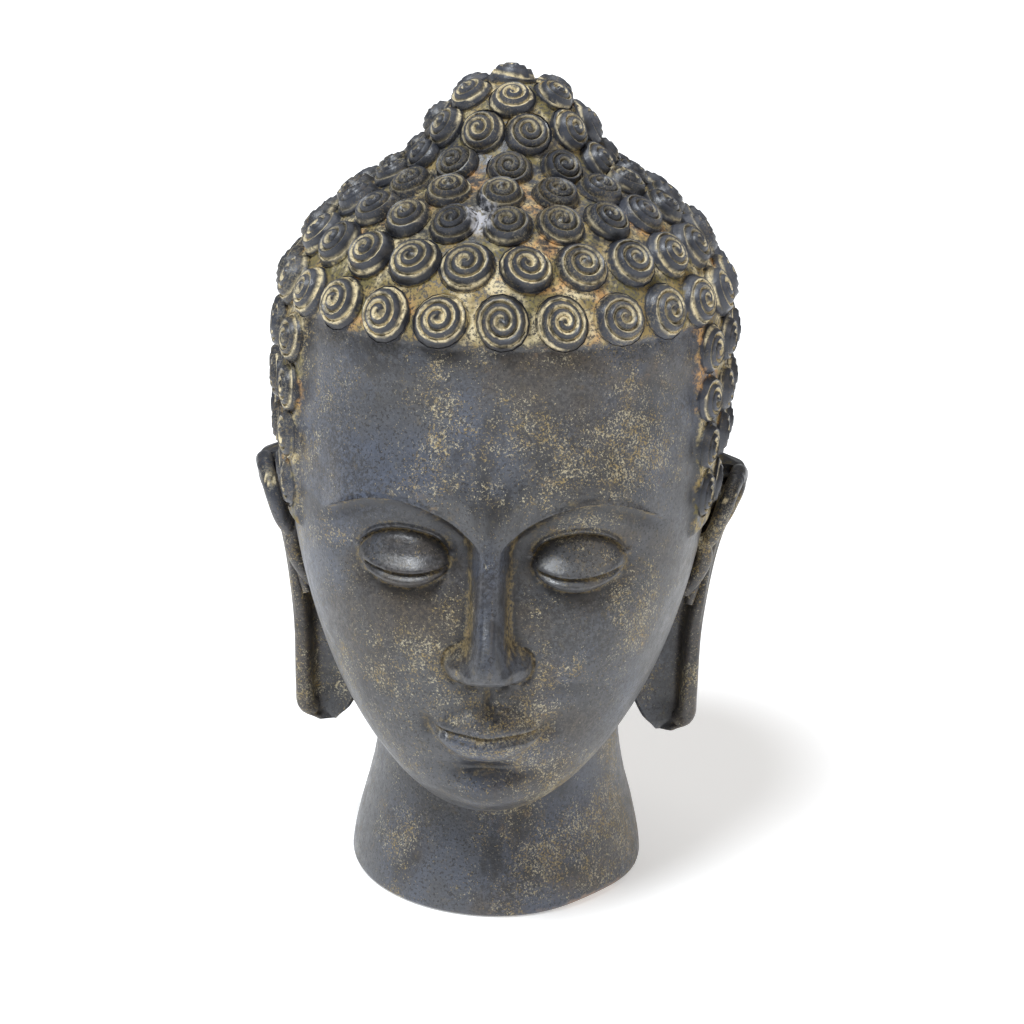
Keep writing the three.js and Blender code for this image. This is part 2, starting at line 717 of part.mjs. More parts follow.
// Ear by height: outer edge, strip of the rim, floor of the scoop, and roots
const earEdgeX = curveThrough([
  [EAR_BOTTOM_Z, 162], [EAR_BOTTOM_Z + 7, 173], [EAR_BOTTOM_Z + 22, 178], [200, 178],
  [250, 183], [290, 191], [320, 206], [345, 214], [EAR_TOP_Z, EAR_REACH],
]);
const earStripWidth = curveThrough([
  [EAR_BOTTOM_Z, 12], [EAR_BOTTOM_Z + 20, 17], [220, 15], [300, 12], [EAR_TOP_Z, 9],
]);
const earStripY = curveThrough([
  [EAR_BOTTOM_Z, -4], [EAR_BOTTOM_Z + 16, -12], [230, -10], [300, 6], [EAR_TOP_Z, 24],
]);
const earFloorY = curveThrough([
  [EAR_BOTTOM_Z, 2], [150, 8], [230, 10], [300, 26], [342, 40], [354, 26], [EAR_TOP_Z, 26],
]);
const earBackY = curveThrough([
  [EAR_BOTTOM_Z, 14], [150, 22], [230, 28], [300, 46], [EAR_TOP_Z, 58],
]);
const earRootX = curveThrough([
  [EAR_BOTTOM_Z, 140], [EAR_BOTTOM_Z + 10, 130], [EAR_BOTTOM_Z + 30, 118],
  [168, 96], [230, 118], [300, 140], [EAR_TOP_Z, 150],
]);
const earFrontRootY = curveThrough([
  [EAR_BOTTOM_Z, 0], [200, 4], [250, -14], [300, -34], [EAR_TOP_Z, -44],
]);

// One level of the right ear: front root, scoop, strip of the rim, then the back
function earSection(z) {
  const edge = earEdgeX(z);
  const inner = edge - earStripWidth(z);
  const root = earRootX(z);
  const strip = earStripY(z);
  const floor = earFloorY(z);
  const back = earBackY(z);
  const corners = [
    [root, earFrontRootY(z)],
    [root + 0.5 * (inner - root), earFrontRootY(z) + 0.62 * (floor - earFrontRootY(z))],
    [inner - 6, floor],
    [inner, floor - 3],
    [inner + 2, strip + 2],
    [edge - 5, strip],
    [edge - 1, strip + 4],
    [edge, (strip + back) / 2],
    [edge - 2, back - 4],
    [edge - 7, back],
    [root, back + 8],
  ];
  return corners.map(([x, y]) => {
    const slant = z >= EAR_TOP_Z ? EAR_TOP_SLANT * Math.max(0, x - 185) : 0;
    return [x, y, z - slant];
  });
}

function earSolid(wasm, side) {
  const levels = [];
  for (let z = EAR_BOTTOM_Z; z < 160; z += 8) levels.push(z);
  for (let z = 165; z < 340; z += 22) levels.push(z);
  levels.push(343, 354, EAR_TOP_Z);
  const sections = levels.map(earSection);
  const around = sections[0].length;
  const points = sections.flat().map(([x, y, z]) => new THREE.Vector3(x * side, y, z));
  const triangles = [];
  for (let level = 0; level + 1 < sections.length; level += 1) {
    for (let i = 0; i < around; i += 1) {
      const a = level * around + i;
      const b = level * around + ((i + 1) % around);
      triangles.push([a, b, b + around], [a, b + around, a + around]);
    }
  }
  const flat = sections.map((section) => section.map(([x, y]) => new THREE.Vector2(x, y)));
  const top = (sections.length - 1) * around;
  for (const [a, b, c] of THREE.ShapeUtils.triangulateShape(flat[0], [])) triangles.push([c, b, a]);
  for (const [a, b, c] of THREE.ShapeUtils.triangulateShape(flat.at(-1), [])) {
    triangles.push([top + a, top + b, top + c]);
  }
  const facing = side > 0 ? triangles : triangles.map(([a, b, c]) => [c, b, a]);
  return toSolid(wasm, points, facing);
}

// A rounded bead through stations of place and radius, closed at both ends
function beadSolid(wasm, stations, side) {
  const line = new THREE.CatmullRomCurve3(stations.map(([x, y, z]) => new THREE.Vector3(x * side, y, z)));
  const spans = stations.length - 1;
  const levels = stations.length === EAR_RIM.length ? spans * 2 : spans;
  const points = [];
  for (let level = 0; level <= levels; level += 1) {
    const at = (level / levels) * spans;
    const station = Math.min(spans - 1, Math.floor(at));
    const radius = THREE.MathUtils.lerp(stations[station][3], stations[station + 1][3], at - station);
    const across = new THREE.Vector3(0.3 * side, 1, 0.2).cross(line.getTangent(at / spans)).normalize();
    const over = line.getTangent(at / spans).cross(across);
    for (let i = 0; i < BEAD_SIDES; i += 1) {
      const turn = (i / BEAD_SIDES) * 2 * Math.PI;
      points.push(line.getPoint(at / spans)
        .addScaledVector(across, Math.cos(turn) * radius)
        .addScaledVector(over, Math.sin(turn) * radius));
    }
  }
  return toSolid(wasm, points, loftTriangles(levels, BEAD_SIDES));
}

// Triangles between rings of corners, with a fan over the first and the last ring
function loftTriangles(levels, sides) {
  const triangles = [];
  for (let level = 0; level < levels; level += 1) {
    for (let i = 0; i < sides; i += 1) {
      const a = level * sides + i;
      const b = level * sides + ((i + 1) % sides);
      triangles.push([a, b, b + sides], [a, b + sides, a + sides]);
    }
  }
  for (let i = 1; i + 1 < sides; i += 1) {
    triangles.push([0, i + 1, i]);
    triangles.push([levels * sides, levels * sides + i, levels * sides + i + 1]);
  }
  return triangles;
}

// The cast outline stands with its middle over the origin
function centred(geometry) {
  geometry.computeBoundingBox();
  const box = geometry.boundingBox;
  geometry.translate(-(box.min.x + box.max.x) / 2, -(box.min.y + box.max.y) / 2, -box.min.z);
  return geometry;
}

function toGeometry(solid) {
  const { vertProperties, triVerts } = solid.getMesh();
  const geometry = new THREE.BufferGeometry();
  geometry.setAttribute('position', new THREE.BufferAttribute(new Float32Array(vertProperties), 3));
  geometry.setIndex(new THREE.BufferAttribute(new Uint32Array(triVerts), 1));
  geometry.computeVertexNormals();
  return geometry;
}

async function castHead() {
  const wasm = await Module();
  wasm.setup();
  let cast = headSolid(wasm);
  for (const side of [1, -1]) {
    cast = cast.add(earSolid(wasm, side));
    for (const stations of [EAR_RIM, EAR_FLAP]) cast = cast.add(beadSolid(wasm, stations, side));
  }
  const mesh = new THREE.Mesh(centred(toGeometry(cast)), coat);
  mesh.name = 'buddha_head';
  return mesh;
}

const part = new THREE.Group();
part.add(await castHead());

export default part;
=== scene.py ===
# Buddha head: the visual model, in the frame of its solid.
# The head is worked out in millimetres, as the solid is, and made in metres.
# +Z is up, the face looks along -Y, and +X is to the viewer's right.

from functools import cache
import math

import bpy
import numpy as np
from mathutils import Matrix, Vector


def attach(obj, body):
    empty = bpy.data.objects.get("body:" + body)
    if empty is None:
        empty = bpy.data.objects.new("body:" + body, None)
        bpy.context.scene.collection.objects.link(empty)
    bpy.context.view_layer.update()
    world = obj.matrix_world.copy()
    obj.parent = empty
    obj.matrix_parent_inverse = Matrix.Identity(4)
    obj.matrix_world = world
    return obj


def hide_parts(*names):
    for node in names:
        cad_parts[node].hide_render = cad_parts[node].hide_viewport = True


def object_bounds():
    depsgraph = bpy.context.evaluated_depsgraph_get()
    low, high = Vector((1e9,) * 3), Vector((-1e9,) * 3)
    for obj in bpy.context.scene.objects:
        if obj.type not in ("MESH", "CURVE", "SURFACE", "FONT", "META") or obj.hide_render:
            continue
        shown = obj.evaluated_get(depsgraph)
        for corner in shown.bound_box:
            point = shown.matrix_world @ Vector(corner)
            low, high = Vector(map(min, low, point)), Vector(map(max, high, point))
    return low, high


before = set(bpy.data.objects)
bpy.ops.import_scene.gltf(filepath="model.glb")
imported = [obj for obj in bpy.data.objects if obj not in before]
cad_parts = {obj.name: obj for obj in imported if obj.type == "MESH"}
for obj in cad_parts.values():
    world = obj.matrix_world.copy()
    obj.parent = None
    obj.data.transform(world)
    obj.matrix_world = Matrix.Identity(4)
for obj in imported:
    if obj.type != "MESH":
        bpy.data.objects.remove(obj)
cad_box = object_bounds()

MM = 0.001
TURN = 2 * math.pi
NODE = "buddha_head"

# Driving dimensions of the skull and the face, as in the solid
CHIN_Z = 105
HAIRLINE_Z = 505
WIDEST_Z = 475
SKULL_HALF_WIDTH = 185.5
SKULL_RISE = 151
JAW_TAPER = 2.6
SKULL_MIDDLE_Y = 12
CROWN_LEAN = 3.5
FACE_THIRD = (HAIRLINE_Z - CHIN_Z) / 3
BROW_Z = HAIRLINE_Z - FACE_THIRD
NOSE_BASE_Z = CHIN_Z + FACE_THIRD
EYE_Z = BROW_Z - 0.27 * FACE_THIRD
MOUTH_Z = NOSE_BASE_Z - FACE_THIRD / 3
EYE_HALF_WIDTH = 36
EYE_X = 2 * EYE_HALF_WIDTH - 2
NOSE_REACH = 44
MOUTH_HALF_WIDTH = 47
PHILTRUM_Z = (NOSE_BASE_Z + MOUTH_Z + 16) / 2

# Driving dimensions of the features: their places, their height and how far they stand out
EYE = {
    "slit_drop": 14, "slit_bow": 5.5, "upper": 29, "lower": 14, "bulge": 18,
    "edge": 2.8, "slit": 3.4, "rim": 2.2, "fold": 3.2,
}
BROW = {
    "middle": 80, "half": 66, "rise": 10, "drop": 30,
    "shelf": 9.5, "fade": 34, "line": 2, "hollow": 4,
}
NOSE = {
    "wing": 19, "wing_x": 23, "wing_rise": 11.5, "wing_half": 11, "wing_tall": 12,
    "crease": 4, "base": 7,
}
LIPS = {
    "upper": 9, "lower": 11.5, "bow": 20, "notch": 4, "below": 27, "parting": 8, "border": 1.8,
}

# Soft swellings and hollows, the same on both sides: x, z, half width, half height, relief
SWELLINGS = [
    (EYE_X - 2, EYE_Z + 4, 50, 30, -20),
    (EYE_HALF_WIDTH, EYE_Z + 8, 16, 24, -9),
    (13, NOSE_BASE_Z - 1, 6.5, 4, -7),
    (0, MOUTH_Z + 4, 54, 44, 8),
    (MOUTH_HALF_WIDTH + 1, MOUTH_Z + 2, 9, 9, -6),
    (0, PHILTRUM_Z, 4.5, 12, -4),
    (9, PHILTRUM_Z, 4, 12, 1.2),
    (0, CHIN_Z + 53, 36, 9, -9),
    (0, CHIN_Z + 27, 34, 22, 11),
    (96, 272, 44, 44, 5),
]

# Driving dimensions of the topknot, the hair and its curls
TOPKNOT = {"x": 4, "y": 15, "z": 597, "rx": 72, "ry": 74, "rz": 86}
TOPKNOT_BLEND = 23
HAIR_RISE = 4
TEMPLE_ANGLE = 59
SIDE_LOCK_Z = 330
EAR_BACK_ANGLE = 97
NAPE_Z = 150
FIRST_ROW_Z = 525
APEX_RADIUS = 20
LOWER_ROW_STEP = 40.5
LOWER_ROWS = 9
LOWER_CURL = {"radius": 21, "spacing": 43}
UPPER_HEIGHT_SHARE = 0.6
LOWER_HEIGHT_SHARE = 0.44
LOWEST_LOCK_SHARE = 0.26

# Rows of curls above the hairline: radius, spacing, step up from the row below, phase
UPPER_ROWS = [
    (22, 47, 0, 0.1), (22, 45, 44, 0.5), (20.5, 42, 41, 0.15), (20, 42, 37, 0),
    (19.5, 44, 33, 0.1), (19.5, 38, 31, 0.5), (19, 41, 34, 0.12),
]

# Random differences between the curls: size, drift in millimetres, lean, wear and oval shape
CURL_SIZE = (0.98, 1.03)
CURL_DRIFT = 0.9
CURL_LEAN = 0.06
CURL_WEAR = (0.65, 1.2)
CURL_OVAL = 0.045

# One turn of a curl's spiral: where its strips run, their relief, and the columns round it.
# Then the spiral's share of the radius, and the least gap in a group of curls.
FRONT_STRIPS = ((0.0, 0.22, 0.5, 0.8), (-3.4, -0.5, 0.9, -0.2), 16)
BACK_STRIPS = ((0.0, 0.3, 0.7), (-2.4, 0.1, 0.1), 12)
SPIRAL_SHARE = 0.9
CURL_GAP = 2.5

# How round the head is under a curl, and how deep its foot is sunk
ON_TOPKNOT = {"above": 620, "seat_radius": 75, "sunk": -8.5}
ON_SKULL = {"seat_radius": 190, "sunk": -5.5}

# Driving dimensions of the neck and the ears
NECK = {"x": 3, "deeper": 12, "top": 200}
NECK_BLEND = 14
RIM_ROUND = 5
WORN_RIM = {"angle": 0.75, "half": 0.35, "deeper": 9, "painted_half": 0.4}
EAR_TOP_Z = 362
EAR_BOTTOM_Z = 118
EAR_REACH = 215
EAR_TOP_SLANT = 0.33
EAR_STEP = 2.5

# Point inside the head from which the whole cast surface can be seen
HEART = np.array([0.0, -10.0, 380.0])

# Ray casting: how far rays reach, how often that is halved, and the step for slopes
FAR = 700
CAST_STEPS = 28
SLOPE_STEP = 1.5
TINY = 1e-9
LEAST_SLOPE = 1e-6

# The ground's rays: reach at the throat and at the walls, and level of the crown
THROAT_REACH = 133
WALL_REACH = 180
CROWN_LEVEL = 560

# Triangles of the ground, seed of the random draws, and the sharp edges' angle in degrees
GROUND_FACES = 60000
SEED = 7
SHARP_EDGE = 55


# Small helpers for curves, blends and directions

def smoothstep(low, high, value):
    t = np.clip((value - low) / (high - low), 0, 1)
    return t * t * (3 - 2 * t)


def blend_union(a, b, width):
    h = np.maximum(width - np.abs(a - b), 0) / width
    return np.minimum(a, b) - h * h * width * 0.25


def mound(dx, dz, half_width, half_height):
    return np.exp(-((dx / half_width) ** 2) - (dz / half_height) ** 2)


def crest(off, half):
    """1 on a line, and less to both sides of it."""
    return np.exp(-((off / half) ** 2))


def past(limit, half, value):
    """A soft step from 0 to 1 that is half way at the limit."""
    return smoothstep(limit - half, limit + half, value)


def unit(rows):
    return rows / np.linalg.norm(rows, axis=1, keepdims=True)


def curve_through(pairs):
    """A smooth curve through (at, value) pairs in rising order, held at its ends."""
    at, value = np.array(pairs, dtype=float).T.copy()
    slopes = np.diff(value) / np.diff(at)
    tangents = np.zeros(len(pairs))
    for i in range(1, len(pairs) - 1):
        before, after = slopes[i - 1], slopes[i]
        if before * after > 0:
            tangents[i] = 2 * before * after / (before + after)

    def curve(where):
        where = np.clip(np.asarray(where, dtype=float), at[0], at[-1])
        i = np.clip(np.searchsorted(at, where, side="right") - 1, 0, len(at) - 2)
        span = at[i + 1] - at[i]
        t = (where - at[i]) / span
        rise = t * t * (3 - 2 * t)
        lead = t * (1 - t) * (1 - t) * tangents[i] * span
        tail = t * t * (t - 1) * tangents[i + 1] * span
        return value[i] + (value[i + 1] - value[i]) * rise + lead + tail

    return curve


# The form of the head, as in the solid: skull, topknot, neck and face

front_y = curve_through([
    (CHIN_Z, -146), (CHIN_Z + 4, -158), (CHIN_Z + 14, -172), (CHIN_Z + 32, -183),
    (CHIN_Z + 62, -188), (MOUTH_Z, -190), (NOSE_BASE_Z, -189), (300, -187),
    (BROW_Z, -190.5), (WIDEST_Z, -187),
])
back_y = curve_through([
    (CHIN_Z, -122), (CHIN_Z + 20, -20), (NAPE_Z, 108), (200, 160),
    (260, 194), (340, 214), (430, 222), (WIDEST_Z, 222),
])
middle_y = curve_through([
    (CHIN_Z, -134), (CHIN_Z + 20, -105), (NAPE_Z, -70), (200, -28),
    (260, -3), (340, 9), (400, SKULL_MIDDLE_Y),
])
squareness = curve_through([(CHIN_Z, 2.1), (200, 2.3), (330, 2.35), (WIDEST_Z, 2)])
neck_radius = curve_through([
    (0, 129), (8, 128.5), (45, 121.5), (85, 111), (120, 106), (NECK["top"], 104),
])


def skull(x, y, z):
    x = x - CROWN_LEAN * smoothstep(380, 600, z)
    level = np.maximum(z, CHIN_Z + 0.01)
    middle = middle_y(level)
    depth = np.where(y < middle, middle - front_y(level), back_y(level) - middle)
    below = np.maximum(0, (WIDEST_Z - level) / (WIDEST_Z - CHIN_Z))
    half = SKULL_HALF_WIDTH * np.sqrt(1 - below ** JAW_TAPER)
    power = squareness(level)
    u = np.abs(x) / half
    v = np.abs(y - middle) / depth
    w = np.maximum(0, (level - WIDEST_Z) / SKULL_RISE)
    size = (u ** power + v ** power + w ** power) ** (1 / power) + TINY
    slope = np.sqrt(
        (u ** (power - 1) / half) ** 2
        + (v ** (power - 1) / depth) ** 2
        + (w ** (power - 1) / SKULL_RISE) ** 2
    )
    distance = (size - 1) * size ** (power - 1) / np.maximum(slope, LEAST_SLOPE)
    return np.where(z <= CHIN_Z, FAR, distance)


def topknot(x, y, z):
    rx, ry, rz = TOPKNOT["rx"], TOPKNOT["ry"], TOPKNOT["rz"]
    u = (x - TOPKNOT["x"]) / rx
    v = (y - TOPKNOT["y"]) / ry
    w = (z - TOPKNOT["z"]) / rz
    size = np.sqrt(u * u + v * v + w * w) + TINY
    slope = np.sqrt((u / rx) ** 2 + (v / ry) ** 2 + (w / rz) ** 2)
    return (size - 1) * size / np.maximum(slope, LEAST_SLOPE)


def neck(x, y, z):
    """The neck widens to its rim; the rim is worn down most at its front right."""
    radius = neck_radius(z)
    u = (x - NECK["x"]) / radius
    v = y / (radius + NECK["deeper"])
    wall = (np.sqrt(u * u + v * v) + TINY - 1) * radius
    angle = np.arctan2(x, -y)
    worn = RIM_ROUND + WORN_RIM["deeper"] * crest(angle - WORN_RIM["angle"], WORN_RIM["half"])
    edge = np.hypot(np.maximum(0, wall + worn), np.maximum(0, worn - z)) - worn
    return np.maximum.reduce([wall, -z, edge, z - NECK["top"]])


def swellings(x, z):
    away = np.abs(x)
    return sum(
        out * mound(away - at_x, z - at_z, wide, tall) for at_x, at_z, wide, tall, out in SWELLINGS
    )


def eye_form(x, z):
    """A calm, lowered eye: lid with its fold above it, lid edge, slit and lower rim."""
    across = (np.abs(x) - EYE_X) / EYE_HALF_WIDTH
    inside = np.maximum(0, 1 - across * across * 0.94)
    up = z - (EYE_Z - EYE["slit_drop"] + EYE["slit_bow"] * across * across)
    tall = (inside + 0.02) ** 0.62
    lid = np.where(up > 0, up / (EYE["upper"] * tall), up / (EYE["lower"] * tall))
    ball = EYE["bulge"] * np.sqrt(np.maximum(0, 1 - lid * lid)) * inside ** 0.6
    within = smoothstep(0, 0.3, inside)
    edge = EYE["edge"] * smoothstep(-0.7, 0.5, up) * (1 - smoothstep(2, 14, up)) * within
    slit = -EYE["slit"] * crest(up + 1.6, 1.7) * within
    rim = EYE["rim"] * crest(up + 7, 2.6) * within
    above = up - EYE["upper"] * tall
    fold = EYE["fold"] * crest(above - 4.5, 2.2) * smoothstep(-4, 8, up)
    fold = fold * (1 - smoothstep(0.98, 1.2, np.abs(across)))
    return ball + edge + slit + rim + fold


def brow_form(x, z):
    """A crisp edge that sweeps from the nose over the eye, and the forehead above it."""
    away = np.abs(x)
    along = (away - BROW["middle"]) / BROW["half"]
    above = z - (BROW_Z + BROW["rise"] - BROW["drop"] * along * along)
    ends = smoothstep(6, 22, away) * (1 - smoothstep(118, 142, away))
    fade = np.exp(-np.maximum(0, above) / BROW["fade"])
    shelf = BROW["shelf"] * smoothstep(-1.9, 1.3, above) * fade
    line = BROW["line"] * crest(above - 1.5, 2)
    hollow = -BROW["hollow"] * crest(above + 8, 8)
    return (shelf + line + hollow) * ends


nose_ridge = curve_through([
    (NOSE_BASE_Z - 8, 0), (NOSE_BASE_Z - 1, 10), (NOSE_BASE_Z + 6, 29), (NOSE_BASE_Z + 14, 41),
    (NOSE_BASE_Z + 23, NOSE_REACH), (NOSE_BASE_Z + 40, 41), (300, 32), (EYE_Z, 20), (BROW_Z, 9),
    (BROW_Z + 36, 0),
])
nose_half_width = curve_through([
    (NOSE_BASE_Z, 16), (NOSE_BASE_Z + 18, 16.5), (NOSE_BASE_Z + 40, 12), (300, 11.5),
    (EYE_Z, 12), (BROW_Z, 19), (BROW_Z + 30, 34),
])


def nose_form(x, z):
    """A straight ridge with a rounded tip, and wings with a crease round them."""
    away = np.abs(x)
    up = z - NOSE_BASE_Z
    across = away / nose_half_width(z)
    ridge = nose_ridge(z) * np.exp(-(across ** 3.6) * 0.75)
    base = NOSE["base"] * mound(away, up - 22, 26, 30) * smoothstep(-2, 8, up)
    beside = (away - NOSE["wing_x"]) / NOSE["wing_half"]
    off = beside ** 2 + ((up - NOSE["wing_rise"]) / NOSE["wing_tall"]) ** 2
    wing = NOSE["wing"] * np.exp(-(off ** 1.7))
    crease = -NOSE["crease"] * crest(np.sqrt(off) - 1.2, 0.16) * smoothstep(22, 29, away)
    return ridge + base + wing + crease


def upper_lip_top(away):
    bow = LIPS["bow"] - LIPS["notch"] * crest(away, 6)
    return MOUTH_Z + bow * (1 - (away / MOUTH_HALF_WIDTH) ** 1.7)


def lower_lip_foot(away):
    return MOUTH_Z - LIPS["below"] * (1 - (away / MOUTH_HALF_WIDTH) ** 2.2)


def lip_form(x, z):
    """A bow above the mouth line and a full, shorter lip below it, with drawn borders."""
    away = np.abs(x)
    held = np.minimum(away, MOUTH_HALF_WIDTH - 0.01)
    share = held / MOUTH_HALF_WIDTH
    line = MOUTH_Z - 3 + 5 * share ** 2 - 1.5 * crest(held, 9)
    top = np.maximum(upper_lip_top(held), line + 0.01)
    foot = np.minimum(lower_lip_foot(held), line - 0.01)
    fade = np.sqrt(np.maximum(0, 1 - share ** 2))
    rising = np.clip((z - line) / (top - line), 0, 1)
    falling = np.clip((line - z) / (line - foot), 0, 1)
    upper = LIPS["upper"] * np.sin(np.pi * np.minimum(1, 0.34 + 0.66 * rising)) ** 0.55
    lower = LIPS["lower"] * np.sin(np.pi * np.minimum(1, 0.28 + 0.72 * falling)) ** 0.55
    lip = np.where(z > line, upper, lower)
    parting = -LIPS["parting"] * crest(z - line, 1.9)
    inside = (away < MOUTH_HALF_WIDTH) & (z < top) & (z > foot)
    border = LIPS["border"] * crest(z - top - 1.2, 1.6) * (away < MOUTH_HALF_WIDTH)
    return (np.where(inside, lip + parting, 0) + border) * fade


def face_relief(x, z):
    return swellings(x, z) + eye_form(x, z) + brow_form(x, z) + nose_form(x, z) + lip_form(x, z)


def hair_cover(x, y, z):
    """1 on the hair, 0 on the face, the ears' place and the neck."""
    angle = np.abs(np.degrees(np.arctan2(x, -y)))
    top = smoothstep(HAIRLINE_Z - 1, HAIRLINE_Z + 6, z)
    side = past(TEMPLE_ANGLE, 1.2, angle) * past(SIDE_LOCK_Z, 3, z)
    back = past(EAR_BACK_ANGLE, 1.2, angle) * past(NAPE_Z, 3, z)
    return np.maximum.reduce([top, side, back])


def head_form(points):
    """Below 0 inside the cast head, without curls and ears."""
    x, y, z = points.T
    facing = smoothstep(-40, -110, y) * (z > CHIN_Z)
    shifted = y + face_relief(x, z) * facing
    dome = blend_union(skull(x, shifted, z), topknot(x, y, z), TOPKNOT_BLEND)
    body = blend_union(dome, neck(x, y, z), NECK_BLEND)
    return body - HAIR_RISE * hair_cover(x, y, z)


def cast_from(starts, directions):
    """Where rays from inside leave the head."""
    directions = unit(directions)
    near = np.zeros(len(directions))
    far = np.full(len(directions), float(FAR))
    for _ in range(CAST_STEPS):
        reach = (near + far) / 2
        inside = head_form(starts + directions * reach[:, None]) < 0
        near = np.where(inside, reach, near)
        far = np.where(inside, far, reach)
    return starts + directions * near[:, None]


def cast_out(directions):
    return cast_from(np.broadcast_to(HEART, directions.shape), directions)


def cast_level(angles, heights):
    """The surface at heights and compass angles, 0 in front, in degrees."""
    turn = np.radians(np.asarray(angles, dtype=float))
    heights = np.broadcast_to(np.asarray(heights, dtype=float), turn.shape)
    starts = np.stack([np.zeros_like(turn), np.where(heights < 200, -5.0, 5.0), heights], axis=1)
    directions = np.stack([np.sin(turn), -np.cos(turn), np.zeros_like(turn)], axis=1)
    return cast_from(starts, directions)


def outward_normals(points):
    offsets = SLOPE_STEP * np.eye(3)
    slopes = [head_form(points + offset) - head_form(points - offset) for offset in offsets]
    return unit(np.stack(slopes, axis=1))


# Places of the curls, as in the solid

def upper_row_heights():
    heights = []
    previous = cast_level([0], FIRST_ROW_Z)[0]
    walked = 0
    wanted = 0
    for radius, spacing, step, phase in UPPER_ROWS:
        wanted += step
        z = previous[2]
        while walked < wanted:
            z += 0.5
            point = cast_level([0], z)[0]
            walked += np.linalg.norm(point - previous)
            previous = point
        heights.append(z)
    return heights


def spaced_along(z, start, end, spacing, phase, closed):
    """Evenly spaced points along a level. A closed ring starts after a share of
    a gap; an open one ends with a share of a gap."""
    line = cast_level(np.linspace(start, end, 241), z)
    lengths = np.concatenate([[0], np.cumsum(np.linalg.norm(np.diff(line, axis=0), axis=1))])
    total = lengths[-1]
    gaps = round(total / spacing) if closed else round(total / spacing - phase) + phase
    count = gaps if closed else math.floor(gaps) + 1
    at = (np.arange(count) + (phase if closed else 0)) / gaps * total
    return np.stack([np.interp(at, lengths, line[:, axis]) for axis in range(3)], axis=1)


lock_height_share = curve_through([
    (SIDE_LOCK_Z + 30, LOWEST_LOCK_SHARE), (WIDEST_Z - 25, LOWER_HEIGHT_SHARE),
])


def is_under_ear(point, radius):
    low = point[2] < EAR_TOP_Z + 0.4 * radius
    return low and -22 - 0.5 * radius < point[1] < 62 + 0.6 * radius


def curl_places():
    places = []
    for (radius, spacing, step, phase), z in zip(UPPER_ROWS, upper_row_heights()):
        for point in spaced_along(z, 0, 360, spacing, phase, True):
            places.append((point, radius, UPPER_HEIGHT_SHARE))
    top = np.array([[TOPKNOT["x"], TOPKNOT["y"] - HEART[1], 310.0]])
    places.append((cast_out(top)[0], APEX_RADIUS, UPPER_HEIGHT_SHARE))
    for i in range(1, LOWER_ROWS + 1):
        z = FIRST_ROW_Z - i * LOWER_ROW_STEP
        if z < NAPE_Z + 12:
            break
        tail = (i % 2) / 2
        beside_face = z > SIDE_LOCK_Z + 10
        start = TEMPLE_ANGLE + 5 if beside_face else EAR_BACK_ANGLE + 5
        for side in (1, -1):
            row = spaced_along(z, start * side, 180 * side, LOWER_CURL["spacing"], tail, False)
            if side < 0 and tail == 0:
                row = row[:-1]
            for point in row:
                if not is_under_ear(point, LOWER_CURL["radius"]):
                    share = lock_height_share(point[2]) if point[1] < 0 else LOWER_HEIGHT_SHARE
                    places.append((point, LOWER_CURL["radius"], float(share)))
    return places


class Curl:
    """One snail-shell curl: its place, its own axes, and the turn where it starts."""

    def __init__(self, place, normal, rng):
        point, radius, height_share = place
        self.radius = radius * rng.uniform(*CURL_SIZE)
        self.height = height_share * self.radius
        side = np.cross([0.0, 0.0, 1.0], normal)
        if np.linalg.norm(side) < 0.1:
            side = np.array([1.0, 0.0, 0.0])
        self.side = side / np.linalg.norm(side)
        self.along = np.cross(normal, self.side)
        drift = rng.uniform(-CURL_DRIFT, CURL_DRIFT, 2)
        self.point = point + self.side * drift[0] + self.along * drift[1]
        lean = rng.uniform(-CURL_LEAN, CURL_LEAN, 2)
        self.up = normal + self.side * lean[0] + self.along * lean[1]
        self.up = self.up / np.linalg.norm(self.up)
        self.side = self.side - self.up * np.dot(self.side, self.up)
        self.side = self.side / np.linalg.norm(self.side)
        self.along = np.cross(self.up, self.side)
        self.start = rng.uniform(0, TURN)
        turns = 3.3 if radius > 18.5 else 3.0
        self.pitch = 0.93 * self.radius / turns
        self.rubbed = rng.uniform(*CURL_WEAR)
        self.oval = rng.uniform(0, CURL_OVAL)
        self.oval_turn = rng.uniform(0, TURN)
        self.strips = FRONT_STRIPS if point[1] < 60 or point[2] > 600 else BACK_STRIPS
        self.ground = ON_TOPKNOT if self.point[2] > ON_TOPKNOT["above"] else ON_SKULL

    def local(self, points):
        away = points - self.point
        return away @ self.side, away @ self.along, away @ self.up


def make_curls():
    rng = np.random.default_rng(SEED)
    places = curl_places()
    normals = outward_normals(np.array([place[0] for place in places]))
    return [Curl(place, normal, rng) for place, normal in zip(places, normals)]


# Meshes of the ground, the curls and the ears

def new_object(name, data):
    obj = bpy.data.objects.new(name, data)
    bpy.context.scene.collection.objects.link(obj)
    return obj


def mesh_object(name, vertices, faces):
    mesh = bpy.data.meshes.new(name)
    mesh.from_pydata((np.asarray(vertices) * MM).tolist(), [], faces)
    mesh.validate()
    mesh.update()
    return new_object(name, mesh)


def wall_faces(levels, around):
    """Faces between closed rings of points, level after level."""
    faces = []
    for base in range(0, (levels - 1) * around, around):
        for i in range(around):
            j = (i + 1) % around
            faces.append((base + i, base + j, base + around + j, base + around + i))
    return faces


def closed_faces(levels, around):
    """The walls, and one flat face at each end."""
    last = (levels - 1) * around
    ends = [tuple(reversed(range(around))), tuple(range(last, last + around))]
    return wall_faces(levels, around) + ends


